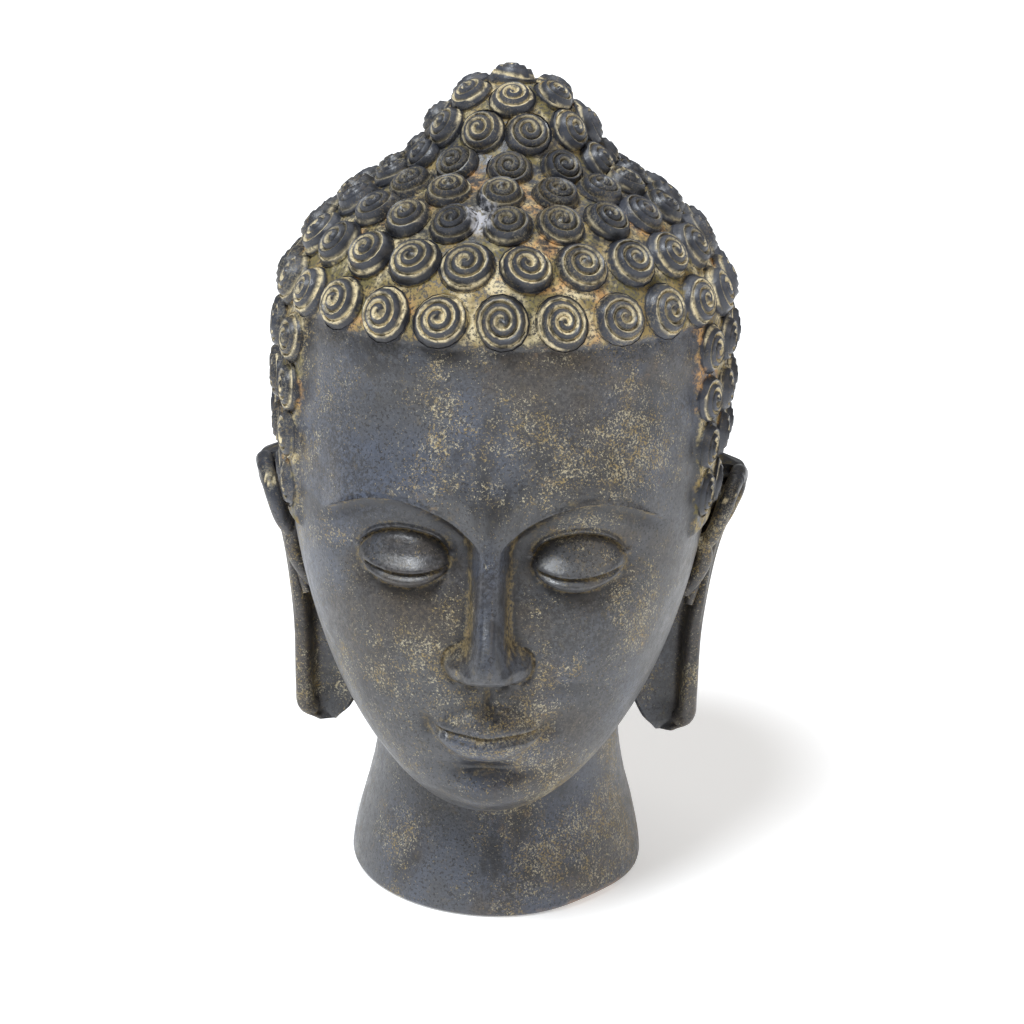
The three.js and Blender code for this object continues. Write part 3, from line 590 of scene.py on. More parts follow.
def rim_reach(angles):
    """How far the neck's rim is from the heart's axis, seen from above."""
    turn = np.radians(angles)
    reach = np.linspace(60, 200, 281)
    x = np.outer(np.sin(turn), reach)
    y = HEART[1] - np.outer(np.cos(turn), reach)
    radius = neck_radius(0.0)
    size = np.hypot((x - NECK["x"]) / radius, y / (radius + NECK["deeper"]))
    return reach[np.argmin(np.abs(size - 1), axis=1)]


def ground_aims():
    """Directions of the rays: rows over the underside, the walls and the crown."""
    middle = np.arange(-49.95, 50, 0.45)
    beside = np.arange(51, 64.01, 0.9)
    behind = np.arange(66, 294, 2.2)
    angles = np.concatenate([-beside[::-1], middle, beside, behind])
    turn = np.radians(angles)
    plan = np.stack([np.sin(turn), -np.cos(turn)], axis=1)
    rim = rim_reach(angles)

    def row(reach, height):
        level = np.full(len(angles), height - HEART[2])
        return np.column_stack([plan * np.reshape(reach, (-1, 1)), level])

    shares = np.concatenate([
        [0.35, 0.7, 0.84], np.arange(0.88, 1.06, 0.012), np.arange(1.06, 1.34, 0.02),
    ])
    heights = np.concatenate([
        np.arange(0, 98, 5.0), np.arange(98, 398, 1.3), np.arange(398, 498, 4.5),
        np.arange(498, 512, 1.6), np.arange(512, CROWN_LEVEL, 6),
    ])
    rows = []
    for share in shares:
        ease = smoothstep(1.02, 1.3, share)
        rows.append(row(share * (rim * (1 - ease) + THROAT_REACH * ease), 0))
    rows += [row(WALL_REACH, height) for height in heights]
    return rows + [row(reach, CROWN_LEVEL) for reach in np.linspace(176, 4, 32)]


def ground_object():
    rows = ground_aims()
    around = len(rows[0])
    ends = np.array([[0.0, 0.0, -1.0], [0.0, 0.0, 1.0]])
    vertices = cast_out(np.concatenate([*rows, ends]))
    faces = wall_faces(len(rows), around)
    low = len(vertices) - 2
    last = low - around
    for i in range(around):
        j = (i + 1) % around
        faces.append((low, j, i))
        faces.append((low + 1, last + i, last + j))
    obj = mesh_object("ground", vertices, faces)
    modifier = obj.modifiers.new("thin", "DECIMATE")
    modifier.ratio = GROUND_FACES / face_count(obj)
    apply_modifiers(obj)
    return obj


def face_count(obj):
    return sum(len(polygon.vertices) - 2 for polygon in obj.data.polygons)


def apply_modifiers(obj):
    graph = bpy.context.evaluated_depsgraph_get()
    mesh = bpy.data.meshes.new_from_object(obj.evaluated_get(graph))
    obj.modifiers.clear()
    obj.data = mesh


def curl_height(curl, reach):
    """Height of the plain curl: a crowned top and a rounded shoulder."""
    share = np.clip(reach / curl.radius, 0, 1)
    crown = 1 - 0.42 * share ** 1.6
    shoulder = np.sqrt(np.maximum(0, 1 - smoothstep(0.68, 1.0, share) ** 1.5))
    bend = reach ** 2 / (2 * curl.ground["seat_radius"])
    return curl.height * crown * shoulder - bend


def curl_mesh(curl):
    """Strips that follow the spiral, a shoulder, and a sunk closed foot."""
    offsets, relief, columns = curl.strips
    per_turn = len(offsets)
    limit = SPIRAL_SHARE * curl.radius
    vertices = []

    def add(reach, column, height):
        turn = TURN * column / columns + curl.start
        reach = reach * (1 + curl.oval * math.cos(2 * (turn - curl.oval_turn)))
        across = curl.side * (math.cos(turn) * reach)
        along = curl.along * (math.sin(turn) * reach)
        vertices.append(curl.point + across + along + curl.up * height)
        return len(vertices) - 1

    @cache
    def shoulder(j):
        return add(limit, j, curl_height(curl, limit) - 0.3)

    @cache
    def corner(i, j):
        if j == columns:
            return corner(i + per_turn, 0)
        reach = curl.pitch * (i // per_turn + offsets[i % per_turn] + j / columns)
        if reach >= limit - 0.8:
            return shoulder(j)
        fade = smoothstep(0, 0.6 * curl.pitch, reach)
        return add(reach, j, curl_height(curl, reach) + relief[i % per_turn] * fade)

    faces = []

    def add_face(*corners):
        unique = tuple(dict.fromkeys(corners))
        if len(unique) > 2:
            faces.append(unique)

    rows = math.ceil(limit / curl.pitch) * per_turn + per_turn
    for i in range(rows):
        for j in range(columns):
            add_face(corner(i, j), corner(i + 1, j), corner(i + 1, j + 1), corner(i, j + 1))
    middle = corner(0, 0)
    for j in range(1, columns - 1):
        add_face(middle, corner(0, j), corner(0, j + 1))
    last = corner(0, columns - 1)
    for i in range(per_turn):
        add_face(last, corner(i + 1, 0), corner(i, 0))
    rings = [[shoulder(j) for j in range(columns)]]
    sunk = curl.ground["sunk"]
    edge = curl_height(curl, 0.97 * curl.radius)
    for share, height in ((0.97, edge), (1.0, 0.8), (0.98, sunk)):
        reach = share * curl.radius
        rings.append([add(reach, j, height) for j in range(columns)])
    for inner, outer in zip(rings, rings[1:]):
        for j in range(columns):
            k = (j + 1) % columns
            faces.append((inner[j], outer[j], outer[k], inner[k]))
    foot = add(0, 0, sunk)
    for j in range(columns):
        faces.append((rings[-1][(j + 1) % columns], rings[-1][j], foot))
    return vertices, faces


def curl_groups(curls):
    """Sorts the curls into groups in which none touches another."""
    groups = []
    for curl in curls:
        for group in groups:
            reach = [curl.radius + other.radius for other in group]
            away = [np.linalg.norm(curl.point - other.point) for other in group]
            if min(np.subtract(away, reach)) > CURL_GAP:
                group.append(curl)
                break
        else:
            groups.append([curl])
    return groups


def curls_object(curls):
    vertices = []
    faces = []
    for curl in curls:
        own_vertices, own_faces = curl_mesh(curl)
        base = len(vertices)
        vertices.extend(own_vertices)
        faces.extend(tuple(index + base for index in face) for face in own_faces)
    return mesh_object("curls", vertices, faces)


# Ear by height: outer edge, strip of the rim, floor of the scoop, back, roots and fold

ear_edge_x = curve_through([
    (EAR_BOTTOM_Z, 162), (EAR_BOTTOM_Z + 7, 173), (EAR_BOTTOM_Z + 22, 178), (200, 178),
    (250, 183), (290, 191), (320, 206), (345, 214), (EAR_TOP_Z, EAR_REACH),
])
ear_strip_width = curve_through([
    (EAR_BOTTOM_Z, 12), (EAR_BOTTOM_Z + 20, 17), (220, 15), (300, 12), (EAR_TOP_Z, 9),
])
ear_strip_y = curve_through([
    (EAR_BOTTOM_Z, -4), (EAR_BOTTOM_Z + 16, -12), (230, -10), (300, 6), (EAR_TOP_Z, 24),
])
ear_floor_y = curve_through([
    (EAR_BOTTOM_Z, 2), (150, 8), (230, 10), (300, 26), (342, 40), (354, 26), (EAR_TOP_Z, 26),
])
ear_back_y = curve_through([
    (EAR_BOTTOM_Z, 14), (150, 22), (230, 28), (300, 46), (EAR_TOP_Z, 58),
])
ear_root_x = curve_through([
    (EAR_BOTTOM_Z, 140), (EAR_BOTTOM_Z + 10, 130), (EAR_BOTTOM_Z + 30, 118),
    (168, 96), (230, 118), (300, 140), (EAR_TOP_Z, 150),
])
ear_front_root_y = curve_through([
    (EAR_BOTTOM_Z, 0), (200, 4), (250, -14), (300, -34), (EAR_TOP_Z, -44),
])
ear_fold = curve_through([(190, 0), (230, 4), (290, 8), (335, 6), (348, 0)])

# Points of the scoop: shares of the way in and back, and of the fold's height
SCOOP = [(0, 0, 0), (0.3, 0.36, 0), (0.5, 0.6, 1), (0.66, 0.8, 0.6)]


def ear_section(z):
    """One level of the right ear: front root, scoop, strip of the rim, then the back."""
    edge = ear_edge_x(z)
    inner = edge - ear_strip_width(z)
    root = ear_root_x(z)
    strip = ear_strip_y(z)
    floor = ear_floor_y(z)
    back = ear_back_y(z)
    front = ear_front_root_y(z)
    fold = ear_fold(z)
    wide, deep = inner - root, floor - front
    scoop = [(root + a * wide, front + b * deep - c * fold) for a, b, c in SCOOP]
    return np.array(scoop + [
        (inner - 6, floor),
        (inner, floor - 3),
        (inner + 2, strip + 2),
        (edge - 5, strip),
        (edge - 1, strip + 4),
        (edge, (strip + back) / 2),
        (edge - 2, back - 4),
        (edge - 7, back),
        (root, back + 8),
    ])


def rounded_outline(outline):
    """Cuts every corner of a closed outline, twice over."""
    for _ in range(2):
        following = np.roll(outline, -1, axis=0)
        cut = np.empty((len(outline) * 2, 2))
        cut[0::2] = outline * 0.75 + following * 0.25
        cut[1::2] = outline * 0.25 + following * 0.75
        outline = cut
    return outline


def ear_object(side):
    levels = np.append(np.arange(EAR_BOTTOM_Z, EAR_TOP_Z - 1, EAR_STEP), EAR_TOP_Z)
    sections = []
    for z in levels:
        outline = rounded_outline(ear_section(z))
        cap = max(smoothstep(4, 0, EAR_TOP_Z - z), smoothstep(3, 0, z - EAR_BOTTOM_Z))
        middle = outline.mean(axis=0)
        outline = middle + (outline - middle) * (1 - 0.12 * cap)
        slant = EAR_TOP_SLANT * np.maximum(0, outline[:, 0] - 185) * smoothstep(300, EAR_TOP_Z, z)
        sections.append(np.column_stack([outline[:, 0] * side, outline[:, 1], z - slant]))
    faces = closed_faces(len(sections), len(sections[0]))
    if side < 0:
        faces = [tuple(reversed(face)) for face in faces]
    return mesh_object("ear", np.concatenate(sections), faces)


# Beads of the ear: stations of place and radius along the rim, the fold and the flap
EAR_RIM = [
    (176, -22, 298, 6), (185, -31, 315, 7), (192, -30, 336, 7), (199, -14, 350, 7),
    (205, 10, 354, 7.5), (207, 30, 346, 8), (200, 32, 326, 7.5), (186, 20, 292, 7),
    (177, 6, 252, 7), (171, -4, 205, 7), (170, -6, 160, 7.5), (168, -3, 136, 8), (162, 2, 128, 8),
]
EAR_FOLD = [
    (190, 4, 342, 4), (194, 14, 330, 6), (189, 14, 308, 6), (179, 6, 284, 6), (172, -4, 262, 5),
    (166, -8, 240, 4),
]
EAR_FLAP = [(172, -24, 308, 5), (178, -25, 292, 7), (172, -19, 272, 7), (162, -12, 252, 5)]
TUBE_SIDES = 20
STATION_STEPS = 6


def through_points(stations):
    """A smooth line through stations of place and radius."""
    knots = np.array(stations, dtype=float)
    at = np.arange(len(knots))
    curves = [curve_through(list(zip(at, knots[:, i]))) for i in range(knots.shape[1])]
    where = np.linspace(0, len(knots) - 1, (len(knots) - 1) * STATION_STEPS + 1)
    line = np.stack([curve(where) for curve in curves], axis=1)
    for _ in range(STATION_STEPS):
        line[1:-1] = 0.5 * line[1:-1] + 0.25 * (line[:-2] + line[2:])
    return line


def tube_object(stations, side):
    """A rounded bead of changing thickness, closed at both ends."""
    line = through_points(stations)
    middle = line[:, :3] * np.array([side, 1, 1])
    ahead = unit(np.gradient(middle, axis=0))
    across = unit(np.cross(ahead, np.array([0.3 * side, 1.0, 0.2])))
    over = np.cross(ahead, across)
    turns = np.linspace(0, TURN, TUBE_SIDES, endpoint=False)[None, :, None]
    ring = np.cos(turns) * across[:, None] + np.sin(turns) * over[:, None]
    vertices = (middle[:, None] + ring * line[:, 3][:, None, None]).reshape(-1, 3)
    return mesh_object("bead", vertices, closed_faces(len(middle), TUBE_SIDES))


def ear_parts(side):
    beads = [tube_object(stations, side) for stations in (EAR_RIM, EAR_FOLD, EAR_FLAP)]
    return [ear_object(side)] + beads


def join_solids(base, others):
    """Unites closed meshes into one outer skin."""
    for other in others:
        modifier = base.modifiers.new("join", "BOOLEAN")
        modifier.operation = "UNION"
        modifier.solver = "MANIFOLD"
        modifier.object = other
        apply_modifiers(base)
        bpy.data.objects.remove(other, do_unlink=True)
    return base


def head_object(curls):
    ground = ground_object()
    ears = ear_parts(1) + ear_parts(-1)
    groups = [curls_object(group) for group in curl_groups(curls)]
    head = join_solids(ground, ears + groups)
    head.name = "cast_head"
    return head


# Values painted on the mesh's points, which the coat reads

def read_out(collection, name, width, kind=float):
    """A named value of all of a mesh's points or edges, a row for each."""
    values = np.empty(len(collection) * width, dtype=kind)
    collection.foreach_get(name, values)
    return values.reshape(-1, width)


def mesh_points(obj):
    return read_out(obj.data.vertices, "co", 3) / MM


def averaged(at_first, at_second, edges, count):
    """Each point's mean over its edges, from values for their first and second ends."""
    total = np.bincount(edges[:, 0], weights=at_first, minlength=count)
    total += np.bincount(edges[:, 1], weights=at_second, minlength=count)
    return total / np.maximum(np.bincount(edges.ravel(), minlength=count), 1)


def spread(values, edges, rounds):
    """Averages values over neighbouring points."""
    first, second = edges.T
    for _ in range(rounds):
        around = averaged(values[second], values[first], edges, len(values))
        values = 0.5 * values + 0.5 * around
    return values


def hollowness(points, normals, edges):
    """Above 0 in hollows and below 0 on ridges, from each point's neighbours."""
    first, second = edges.T
    away = points[second] - points[first]
    length = np.maximum(np.linalg.norm(away, axis=1), 0.05)
    rise = np.einsum("ij,ij->i", away, normals[first]) / length
    fall = np.einsum("ij,ij->i", -away, normals[second]) / length
    return spread(averaged(rise, fall, edges, len(points)), edges, 2)


# How strong the paint is by height: in the grooves of the curls, and on the ground between them
groove_strength = curve_through([
    (400, 0.75), (525, 1.0), (562, 0.75), (600, 0.4), (640, 0.45), (665, 0.8), (690, 0.9),
])
valley_strength = curve_through([
    (400, 0.6), (505, 0.8), (535, 1.0), (565, 0.75), (600, 0.5), (640, 0.55), (670, 0.9),
])

# Layers read from the face's relief: how far round a point they look, and their full depth
# The deep layer is painted shade: it darkens the coat and thins the flecks in the face's broad
# hollows
RELIEF_LAYERS = {"deep": (11, 6), "crease": (3, 1.1), "proud": (6, -3)}
# Gain of the ridge layer, which paints a highlight on the curls' ridges, partly wear
RIDGE_GAIN = 3
HAIR_SPREAD = 6


def relief_hollow(points, reach):
    """How far the face's relief lies below its surroundings, from a ring of samples."""
    x, y, z = points.T
    own = face_relief(x, z)
    around = np.zeros(len(points))
    for turn in np.arange(8) * math.pi / 4:
        around += face_relief(x + reach * math.cos(turn), z + reach * math.sin(turn)) / 8
    facing = smoothstep(-60, -110, y) * (z > CHIN_Z)
    return (around - own) * facing


def groove_and_valley(points, curls):
    """Each point's share of a groove's pale flank, of the painted shadow along its floor, and of the
    hair's ground.
    """
    groove, shade = np.zeros((2, len(points)))
    height = head_form(points)
    hair = hair_cover(*points.T)
    for curl in curls:
        near = np.where(np.linalg.norm(points - curl.point, axis=1) < curl.radius * 1.3)[0]
        u, v, w = curl.local(points[near])
        angle = np.arctan2(v, u)
        reach = np.hypot(u, v) / (1 + curl.oval * np.cos(2 * (angle - curl.oval_turn)))
        turn = np.mod(angle - curl.start, TURN) / TURN
        phase = np.mod(reach / curl.pitch - turn + 0.5, 1) - 0.5
        depth = 1 - smoothstep(0.07, 0.24, np.abs(phase - 0.12))
        # The shade layer: a painted shadow line in the deepest part of the groove
        line = 1 - smoothstep(0.04, 0.14, np.abs(phase + 0.05))
        top = (reach < 0.93 * curl.radius) & (w > 1.5)
        fade = smoothstep(0.15 * curl.pitch, 0.6 * curl.pitch, reach)
        groove[near] = np.maximum(groove[near], depth * fade * top * curl.rubbed)
        shade[near] = np.maximum(shade[near], line * fade * top)
    valley = hair * (1 - smoothstep(0.4, 2.4, height)) * valley_strength(points[:, 2])
    return groove * groove_strength(points[:, 2]), shade, valley


def paint(obj, name, values):
    attribute = obj.data.attributes.new(name, "FLOAT", "POINT")
    attribute.data.foreach_set("value", np.clip(values, 0, 1).astype(np.float32))


def ear_share(points):
    """1 on the ears, 0 on the rest of the head."""
    x, y, z = points.T
    beside = smoothstep(150, 162, np.abs(x)) * smoothstep(-45, -30, y) * smoothstep(75, 65, y)
    return beside * smoothstep(EAR_TOP_Z + 2, EAR_TOP_Z - 4, z)


def rim_wear(points):
    """1 on the worn edge of the neck at its front right."""
    x, y, z = points.T
    turn = np.arctan2(x, -y) - WORN_RIM["angle"]
    return crest(turn, WORN_RIM["painted_half"]) * smoothstep(13, 4, z)


def paint_head(obj, curls):
    points = mesh_points(obj)
    edges = read_out(obj.data.edges, "vertices", 2, np.int64)
    normals = read_out(obj.data.vertex_normals, "vector", 3)
    groove, shade, valley = groove_and_valley(points, curls)
    layers = {
        "groove": groove,
        "shade": shade,
        "valley": valley,
        # Ridges of the mesh: a painted highlight on the curls, partly wear
        "ridge": -RIDGE_GAIN * hollowness(points, normals, edges),
        "hair": spread(hair_cover(*points.T), edges, HAIR_SPREAD),
        "ear": ear_share(points),
        "worn": rim_wear(points),
    }
    for name, (reach, depth) in RELIEF_LAYERS.items():
        layers[name] = relief_hollow(points, reach) / depth
    for name, values in layers.items():
        paint(obj, name, values)


# The coat: blue-black patina rubbed with ochre, one pale chip, and painted shade and highlights

# Clouds of noise: scale, detail, roughness, distortion, and the range stretched to 0 to 1
CLOUDS = {
    "bluer": (5, 4, 0.6, 0, 0.42, 0.62),
    "browner": (7, 5, 0.65, 0.4, 0.5, 0.7),
    "darker": (11, 7, 0.7, 0.8, 0.46, 0.64),
    "pitted": (430, 2, 0.6, 0, 0.54, 0.62),
    "mottled": (300, 3, 0.7, 0, 0.36, 0.62),
    "patchy": (14, 3, 0.6, 0, 0.35, 0.65),
    "dusty": (8, 8, 0.75, 0, 0.38, 0.66),
    "pale_dust": (90, 3, 0.7, 0, 0.42, 0.6),
    "thick": (22, 4, 0.65, 0, 0.46, 0.62),
    "orange": (17, 4, 0.6, 0.5, 0.53, 0.64),
    "olive": (30, 3, 0.6, 0, 0.42, 0.6),
    "holes": (230, 2, 0.5, 0, 0.56, 0.62),
}


class Nodes:
    """Short calls for building a material's node tree."""

    def __init__(self, material):
        material.use_nodes = True
        self.tree = material.node_tree
        self.shader = self.tree.nodes["Principled BSDF"]
        self.place = self.add("ShaderNodeTexCoord", {}).outputs["Object"]

    def fill(self, node, inputs):
        """Links a node's inputs to other nodes, or sets them to values."""
        for name, value in inputs.items():
            if isinstance(value, bpy.types.NodeSocket):
                self.tree.links.new(value, node.inputs[name])
            else:
                node.inputs[name].default_value = value

    def add(self, kind, inputs, **settings):
        node = self.tree.nodes.new(kind)
        for name, value in settings.items():
            setattr(node, name, value)
        self.fill(node, inputs)
        return node

    def value(self, name):
        return self.add("ShaderNodeAttribute", {}, attribute_name=name).outputs["Fac"]

    def noise(self, scale, detail, roughness, distortion=0.0):
        inputs = {
            "Scale": scale, "Detail": detail, "Roughness": roughness,
            "Distortion": distortion, "Vector": self.place,
        }
        return self.add("ShaderNodeTexNoise", inputs).outputs["Fac"]

    def cloud(self, name, to_low=0.0, to_high=1.0):
        scale, detail, roughness, distortion, low, high = CLOUDS[name]
        noise = self.noise(scale, detail, roughness, distortion)
        return self.between(noise, low, high, to_low, to_high)

    def math(self, operation, a, b):
        return self.add("ShaderNodeMath", {0: a, 1: b}, operation=operation).outputs[0]

    def plus(self, a, b):
        return self.math("ADD", a, b)

    def minus(self, a, b):
        return self.math("SUBTRACT", a, b)

    def times(self, a, b):
        return self.math("MULTIPLY", a, b)

    def most(self, first, *others):
        for other in others:
            first = self.math("MAXIMUM", first, other)
        return first

    def between(self, value, low, high, to_low=0.0, to_high=1.0):
        inputs = {
            "Value": value, "From Min": low, "From Max": high, "To Min": to_low, "To Max": to_high,
        }
        node = self.add("ShaderNodeMapRange", inputs, interpolation_type="SMOOTHSTEP")
        return node.outputs["Result"]

    def ragged(self, share, noise, least, most):
        """A share with its edges broken up by noise."""
        return self.plus(share, self.between(noise, 0.3, 0.7, least, most))

    def mix(self, share, a, b):
        a, b = [(*tone, 1) if isinstance(tone, tuple) else tone for tone in (a, b)]
        inputs = {"Factor": share, "A": a, "B": b}
        return self.add("ShaderNodeMix", inputs, data_type="RGBA").outputs["Result"]

    def bump(self, height, strength, distance):
        inputs = {"Height": height, "Strength": strength, "Distance": distance}
        return self.add("ShaderNodeBump", inputs)


# Colours of the coat, and the chip's place and reach in metres
SKIN = (0.074, 0.076, 0.082)
SKIN_BLUE = (0.084, 0.100, 0.140)
SKIN_BROWN = (0.084, 0.066, 0.047)
# Dark patches of the coat, and painted shade in the face's hollows
SKIN_DARK_AND_SHADE = (0.018, 0.017, 0.018)
CURL_BLACK = (0.017, 0.018, 0.022)
# Blue of the curls in patches, and their painted highlight on the ridges
CURL_BLUE_AND_HIGHLIGHT = (0.058, 0.064, 0.082)
# Painted shadow in the floor of the curls' grooves
GROOVE_SHADOW = (0.006, 0.006, 0.007)
GOLD = (0.36, 0.27, 0.12)
PALE_DUST = (0.56, 0.50, 0.35)
OLIVE = (0.20, 0.17, 0.075)
CREAM = (0.80, 0.69, 0.45)
ORANGE = (0.60, 0.36, 0.16)
WORN = (0.40, 0.31, 0.25)
CHIP = (0.48, 0.48, 0.51)
CHIP_PLACE = (-0.016, -0.118, 0.598)
CHIP_REACH = (0.017, 0.034, 0.026)


def skin_colour(nodes):
    """Blue-black patina in cloudy patches, darker on the curls, with painted shade in the face's
    hollows, a painted highlight on the curls' ridges and a painted shadow line in their grooves.
    """
    bluer = nodes.cloud("bluer")
    browner = nodes.most(nodes.cloud("browner"), nodes.times(nodes.value("ear"), 0.7))
    mottled = nodes.times(nodes.cloud("mottled", 0.0, 0.85), nodes.cloud("patchy", 0.25, 1.0))
    darker = nodes.most(nodes.cloud("darker", 0.0, 0.85), nodes.cloud("pitted", 0.0, 0.8))
    # Deep adds painted shade in the face's hollows to the dark patches
    darker = nodes.most(darker, nodes.value("deep"), mottled)
    skin = nodes.mix(browner, nodes.mix(bluer, SKIN, SKIN_BLUE), SKIN_BROWN)
    skin = nodes.mix(darker, skin, SKIN_DARK_AND_SHADE)
    # Lighter blue on the curls' ridges is a painted highlight, partly wear
    curls = nodes.mix(nodes.most(bluer, nodes.value("ridge")), CURL_BLACK, CURL_BLUE_AND_HIGHLIGHT)
    # A painted shadow line along the floor of each groove
    curls = nodes.mix(nodes.value("shade"), curls, GROOVE_SHADOW)
    return nodes.mix(nodes.value("hair"), skin, curls)


def dust_share(nodes):
    """Fine pale flecks, crowded inside clouds, kept off the proud parts of the face, and thinned in
    its hollows as painted shade.
    """
    level = nodes.between(nodes.cloud("dusty"), 0, 1, 0.63, 0.475)
    level = nodes.minus(level, nodes.times(nodes.value("ear"), 0.05))
    grain = nodes.between(nodes.minus(nodes.noise(560, 3, 0.8), level), 0.0, 0.11)
    share = nodes.times(grain, nodes.between(nodes.value("hair"), 0, 1, 0.85, 0.3))
    share = nodes.times(share, nodes.between(nodes.value("proud"), 0.1, 0.9, 1, 0.25))
    # Fewer flecks in the face's deep hollows keeps painted shade there
    return nodes.times(share, nodes.between(nodes.value("deep"), 0.2, 0.9, 1, 0.3))


def settled_share(nodes, fine, middling):
    """Gold rubbed into the creases of the face."""
    ragged = nodes.ragged(nodes.value("crease"), middling, -0.35, 0.35)
    share = nodes.times(nodes.between(ragged, 0.3, 1.0), nodes.between(fine, 0.38, 0.58))
    return nodes.times(share, 0.45)


def groove_share(nodes, fine, middling):
    """Cream left in the spiral grooves, broken up by wear."""
    broken = nodes.between(middling, 0.36, 0.54, 0.3, 1.0)
    speckled = nodes.between(fine, 0.36, 0.5, 0.35, 1.0)
    return nodes.times(nodes.times(nodes.between(nodes.value("groove"), 0.1, 0.7), broken), speckled)


def valley_share(nodes, fine, middling):
    """Paint on the ground between the curls, ragged and dotted with dark."""
    ragged = nodes.ragged(nodes.value("valley"), middling, -0.4, 0.3)
    dotted = nodes.between(fine, 0.38, 0.54, 0.1, 1.0)
    return nodes.times(nodes.between(ragged, 0.15, 0.85), dotted)


def valley_colour(nodes):
    """Olive and gold, with cream and orange patches where the paint is thick."""
    cream = nodes.times(nodes.cloud("thick"), nodes.value("valley"))
    thin = nodes.mix(nodes.cloud("olive"), GOLD, OLIVE)
    return nodes.mix(nodes.cloud("orange"), nodes.mix(cream, thin, CREAM), ORANGE)


def chip_share(nodes, middling):
    """The pale chip between the curls, with ragged edges."""
    inputs = {
        "Vector": nodes.place,
        "Scale": [1 / reach for reach in CHIP_REACH],
        "Location": [-at / reach for at, reach in zip(CHIP_PLACE, CHIP_REACH)],
    }
    around = nodes.add("ShaderNodeMapping", inputs).outputs["Vector"]
    ball = nodes.add("ShaderNodeTexGradient", {"Vector": around}, gradient_type="SPHERICAL")
    ball = ball.outputs["Fac"]
    share = nodes.between(nodes.ragged(ball, middling, -0.45, 0.35), 0.1, 0.9)
    share = nodes.times(share, nodes.between(ball, 0, 0.25))
    return nodes.times(share, nodes.cloud("holes", 1, 0.15))


def coat_colour(nodes, fine, middling):
    """The coat's layers from the skin out, and how much pale paint lies on it."""
    dust_tone = nodes.mix(nodes.cloud("pale_dust"), GOLD, PALE_DUST)
    worn = nodes.between(nodes.ragged(nodes.value("worn"), middling, -0.4, 0.2), 0.25, 0.8, 0, 0.8)
    layers = [
        (dust_share(nodes), dust_tone),
        (settled_share(nodes, fine, middling), GOLD),
        (groove_share(nodes, fine, middling), CREAM),
        (valley_share(nodes, fine, middling), valley_colour(nodes)),
        (worn, WORN),
        (chip_share(nodes, middling), CHIP),
    ]
    colour = skin_colour(nodes)
    for share, tone in layers:
        colour = nodes.mix(share, colour, tone)
    return colour, nodes.most(*[share for share, tone in layers])


def coat_material():
    material = bpy.data.materials.new("patinated_coat")
    nodes = Nodes(material)
    fine = nodes.noise(380, 3, 0.7)
    middling = nodes.noise(110, 3, 0.6)
    colour, pale = coat_colour(nodes, fine, middling)
    rough = nodes.ragged(nodes.between(pale, 0, 1, 0.37, 0.85), middling, -0.06, 0.08)
    shine = nodes.between(nodes.value("hair"), 0, 1, 0.65, 0.5)
    shine = nodes.minus(shine, nodes.times(pale, 0.3))
    waves = nodes.bump(nodes.noise(45, 5, 0.6), 0.35, 0.002)
    grain = nodes.bump(fine, 0.5, 0.0007)
    nodes.fill(grain, {"Normal": waves.outputs["Normal"]})
    nodes.fill(nodes.shader, {
        "Base Color": colour,
        "Roughness": rough,
        "Specular IOR Level": shine,
        "Metallic": 0.0,
        "Normal": grain.outputs["Normal"],
    })
    return material


# Floor, light and camera

FLOOR_SIZE = 60
FLOOR_GLOW = 0.45
FLOOR_TONES = ((0.86, 0.86, 0.865), (0.89, 0.89, 0.89))

# Lights: the place each shines from, its softness in degrees, its power and its colour
SUNS = {
    "key": ((-0.6, -0.75, 1.85), 22, 3.1, (0.92, 0.96, 1.0)),
    "fill": ((1.0, -0.6, 0.9), 30, 0.5, (1.0, 0.88, 0.74)),
    "top": ((0.1, 0.5, 1.2), 40, 0.6, (1.0, 1.0, 1.0)),
}
WORLD_LIGHT = 0.15

# Camera: angles in degrees, lengths in metres, the image and the place aimed at in pixels
CAMERA_AZIMUTH = 2.0
CAMERA_ELEVATION = 17.0
CAMERA_ROLL = 1.1
CAMERA_DISTANCE = 2.0
AIM_HEIGHT = 0.35
IMAGE_SIZE = 1024
FOCAL_PIXELS = 2328
AIM_PIXEL = (500, 475)


def make_floor():
    half = FLOOR_SIZE / 2 / MM
    corners = [(-half, -half, 0), (half, -half, 0), (half, half, 0), (-half, half, 0)]
    floor = mesh_object("floor", corners, [(0, 1, 2, 3)])
    material = bpy.data.materials.new("pale_floor")
    nodes = Nodes(material)
    tone = nodes.mix(nodes.noise(3, 2, 0.55), *FLOOR_TONES)
    nodes.fill(nodes.shader, {
        "Base Color": tone,
        "Emission Color": tone,
        "Emission Strength": FLOOR_GLOW,
        "Roughness": 0.9,
    })
    floor.data.materials.append(material)


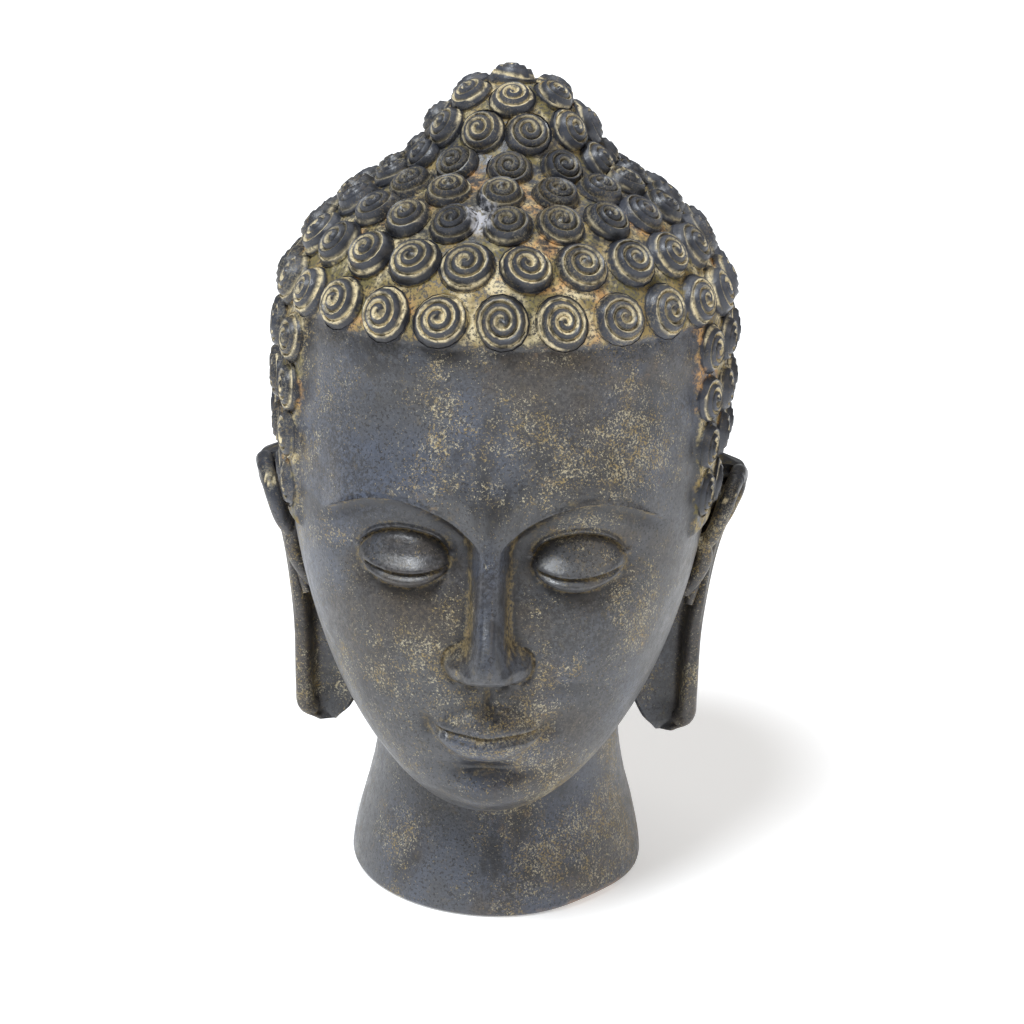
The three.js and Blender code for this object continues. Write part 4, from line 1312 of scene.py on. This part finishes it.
def sun_light(name, place, softness, power, colour):
    """A wide, soft light that shines on the head from a place around it."""
    light = bpy.data.lights.new(name, "SUN")
    light.angle = math.radians(softness)
    light.energy = power
    light.color = colour
    lamp = new_object(name, light)
    lamp.rotation_euler = (-Vector(place)).to_track_quat("-Z", "Y").to_euler()


def make_light():
    world = bpy.data.worlds.new("studio")
    bpy.context.scene.world = world
    world.use_nodes = True
    background = world.node_tree.nodes["Background"]
    background.inputs["Color"].default_value = (1, 1, 1, 1)
    background.inputs["Strength"].default_value = WORLD_LIGHT
    for name, sun in SUNS.items():
        sun_light(name, *sun)
    bpy.context.scene.view_settings.view_transform = "Standard"


def make_camera():
    camera = bpy.data.cameras.new("camera")
    camera.angle = 2 * math.atan(IMAGE_SIZE / 2 / FOCAL_PIXELS)
    camera.shift_x = (IMAGE_SIZE / 2 - AIM_PIXEL[0]) / IMAGE_SIZE
    camera.shift_y = (AIM_PIXEL[1] - IMAGE_SIZE / 2) / IMAGE_SIZE
    azimuth = math.radians(CAMERA_AZIMUTH)
    elevation = math.radians(CAMERA_ELEVATION)
    target = Vector((0, 0, AIM_HEIGHT))
    outward = Vector((
        math.sin(azimuth) * math.cos(elevation),
        -math.cos(azimuth) * math.cos(elevation),
        math.sin(elevation),
    ))
    place = target + outward * CAMERA_DISTANCE
    facing = (target - place).to_track_quat("-Z", "Y").to_matrix().to_4x4()
    roll = Matrix.Rotation(math.radians(CAMERA_ROLL), 4, "Z")
    viewer = new_object("camera", camera)
    viewer.matrix_world = Matrix.Translation(place) @ facing @ roll
    bpy.context.scene.camera = viewer


def centre_on_frame(obj):
    """Moves the mesh so that its middle, front to back, is the solid's."""
    points = mesh_points(obj)
    low, high = cad_box
    wanted = (low[1] + high[1]) / 2 / MM
    now = (points[:, 1].min() + points[:, 1].max()) / 2
    obj.data.transform(Matrix.Translation((0, (wanted - now) * MM, 0)))


make_floor()
make_light()
make_camera()
curls = make_curls()
head = head_object(curls)
paint_head(head, curls)
centre_on_frame(head)
head.data.materials.clear()
head.data.materials.append(coat_material())
head.data.shade_smooth()
head.data.set_sharp_from_angle(angle=math.radians(SHARP_EDGE))
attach(head, "root")
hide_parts(NODE)
print("head triangles", face_count(head))
